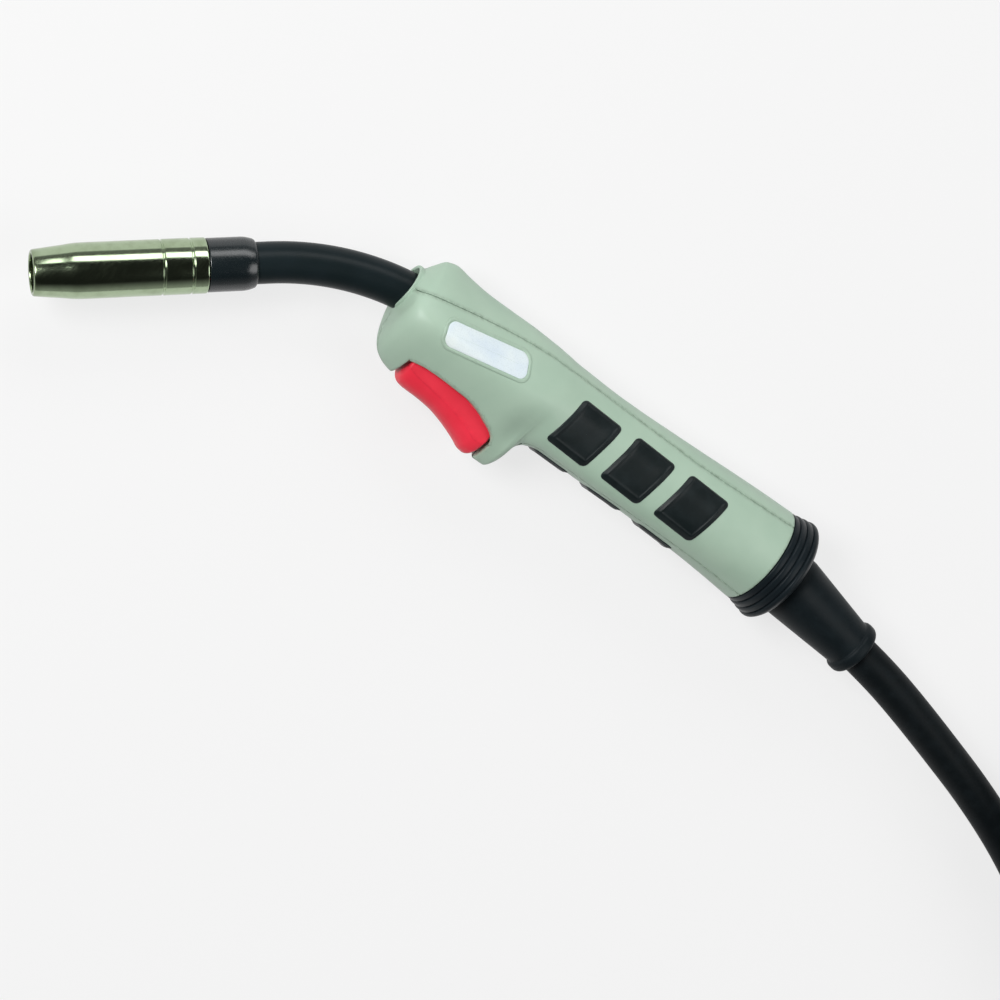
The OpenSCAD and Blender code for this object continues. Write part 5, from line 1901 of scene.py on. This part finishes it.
@dataclass(frozen=True)
class Lamp:
    """A soft rectangular lamp.

    Attributes:
        name: Name of the lamp.
        place: Where it hangs, in metres.
        size: Its width and height in metres.
        power: Its power in watts.
        target: The point that it faces, in metres.
    """

    name: str
    place: Triple
    size: tuple[float, float]
    power: float
    target: Triple = (0.0, 0.0, 0.02)

    def build(self) -> None:
        """Hangs the lamp."""
        data = bpy.data.lights.new(self.name, "AREA")
        data.shape = "RECTANGLE"
        data.size, data.size_y = self.size
        data.energy = self.power
        lamp = bpy.data.objects.new(self.name, data)
        lamp.location = self.place
        way = Vector(self.target) - Vector(self.place)
        lamp.rotation_euler = way.to_track_quat("-Z", "Y").to_euler()
        bpy.context.scene.collection.objects.link(lamp)


@dataclass
class Studio:
    """A white bench, a room with pale walls and soft lamps.

    Attributes:
        wall: Brightness of the walls.
        dark_side: Share of it left on the wall behind the handle.
        dark_way: Direction of that wall.
        dark_from: How far along that direction the wall starts to darken, and is darkest.
        ceiling: Brightness of the ceiling.
        wall_top: Upward share of a direction up to which it meets the walls.
        ceiling_from: Upward share from which it meets the ceiling.
        paint: Brightness of the bench's own paint.
        white_share: How much of the bench the camera sees as plain white.
        reach: Half the bench's side in metres.
        lamps: The soft lamps.
    """

    wall: float = 0.36
    dark_side: float = 0.55
    dark_way: Triple = (-0.636, 0.772, 0.0)
    dark_from: tuple[float, float] = (-0.2, 0.7)
    ceiling: float = 0.015
    wall_top: float = 0.15
    ceiling_from: float = 0.65
    paint: float = 0.62
    white_share: float = 0.75
    reach: float = 8.0
    lamps: tuple[Lamp, ...] = (
        Lamp("key", (-0.43, 1.03, 0.75), (1.2, 0.5), 7.0),
        Lamp("front", (-0.95, -0.1, 1.15), (0.6, 0.6), 19.0),
        Lamp("rear", (0.9, 0.3, 1.05), (0.8, 0.8), 6.0),
    )

    def build(self) -> None:
        """Builds the bench top, the room's light and the lamps."""
        self._bench()
        self._room()
        for lamp in self.lamps:
            lamp.build()

    def _bench(self) -> None:
        """The bench top: pale, and white to the camera apart from the object's shadow."""
        mesh = bpy.data.meshes.new("bench_top")
        half = self.reach
        corners = [(-half, -half, 0), (half, -half, 0), (half, half, 0), (-half, half, 0)]
        mesh.from_pydata(corners, [], [(0, 1, 2, 3)])
        bench = bpy.data.objects.new("bench_top", mesh)
        bpy.context.scene.collection.objects.link(bench)
        material, desk = new_desk("bench_white")
        paint = desk.node("ShaderNodeBsdfDiffuse", None, {"Color": (self.paint,) * 3})
        glow = desk.node("ShaderNodeEmission", None, {"Color": (1, 1, 1), "Strength": 1.0})
        seen = self._sees(desk)
        mixed = desk.node("ShaderNodeMixShader", None,
                          {0: seen * self.white_share, 1: paint, 2: glow})
        desk.node("ShaderNodeOutputMaterial", None, {"Surface": mixed})
        mesh.materials.append(material)

    @staticmethod
    def _facing(desk: NodeDesk, way: Triple) -> Flow:
        """Share of a ray's direction that runs along a way."""
        ray = desk.node("ShaderNodeTexCoord", out="Generated")
        return desk.node("ShaderNodeVectorMath", {"operation": "DOT_PRODUCT"}, {0: ray, 1: way},
                         out="Value")

    @staticmethod
    def _sees(desk: NodeDesk) -> Flow:
        """Which rays see the bench's background.

        Args:
            desk: Desk of the bench's material.

        Returns:
            1 for rays from the camera and for mirrored or refracted ones, 0 for all others.
        """
        camera = desk.node("ShaderNodeLightPath", out="Is Camera Ray")
        glossy = desk.node("ShaderNodeLightPath", out="Is Glossy Ray")
        through = desk.node("ShaderNodeLightPath", out="Is Transmission Ray")
        return (camera + glossy + through).band(0.0, 1.0)

    def _room(self) -> None:
        """The room: pale walls near the bench's level that fall off to a dark ceiling.

        Where the camera looks past the bench's edge it sees plain white instead.
        """
        world = bpy.data.worlds.new("studio_room")
        world.use_nodes = True
        desk = NodeDesk(world.node_tree)
        up = self._facing(desk, (0.0, 0.0, 1.0))
        dark = self._facing(desk, self.dark_way)
        room = (up.band(self.wall_top, self.ceiling_from, self.wall, self.ceiling)
                * dark.band(*self.dark_from, 1.0, self.dark_side))
        seen = desk.node("ShaderNodeLightPath", out="Is Camera Ray")
        light = room * (1.0 - seen) + seen
        back = desk.node("ShaderNodeBackground", None, {"Color": (1, 1, 1), "Strength": light})
        desk.node("ShaderNodeOutputWorld", None, {"Surface": back})
        bpy.context.scene.world = world


def main() -> None:
    """Builds the scene: camera and lead first, then the torch from the rear to the nozzle."""
    logging.basicConfig(level=logging.INFO, format="%(message)s")
    scene = bpy.context.scene
    scene.view_settings.view_transform = "Standard"
    Camera().build()
    guard = KinkGuard()
    on_lead = Connector().build() + HankTies().build()
    Lead(guard).build(on_lead)
    guard.build()
    SwivelCollar().build()
    form = HandleForm()
    HandleShells(form).build()
    GripPads(form).build()
    BarePlate(form).build()
    Trigger().build()
    SwanNeck().build()
    dress_kept_solids()
    Studio().build()


if __name__ == "__main__":
    main()
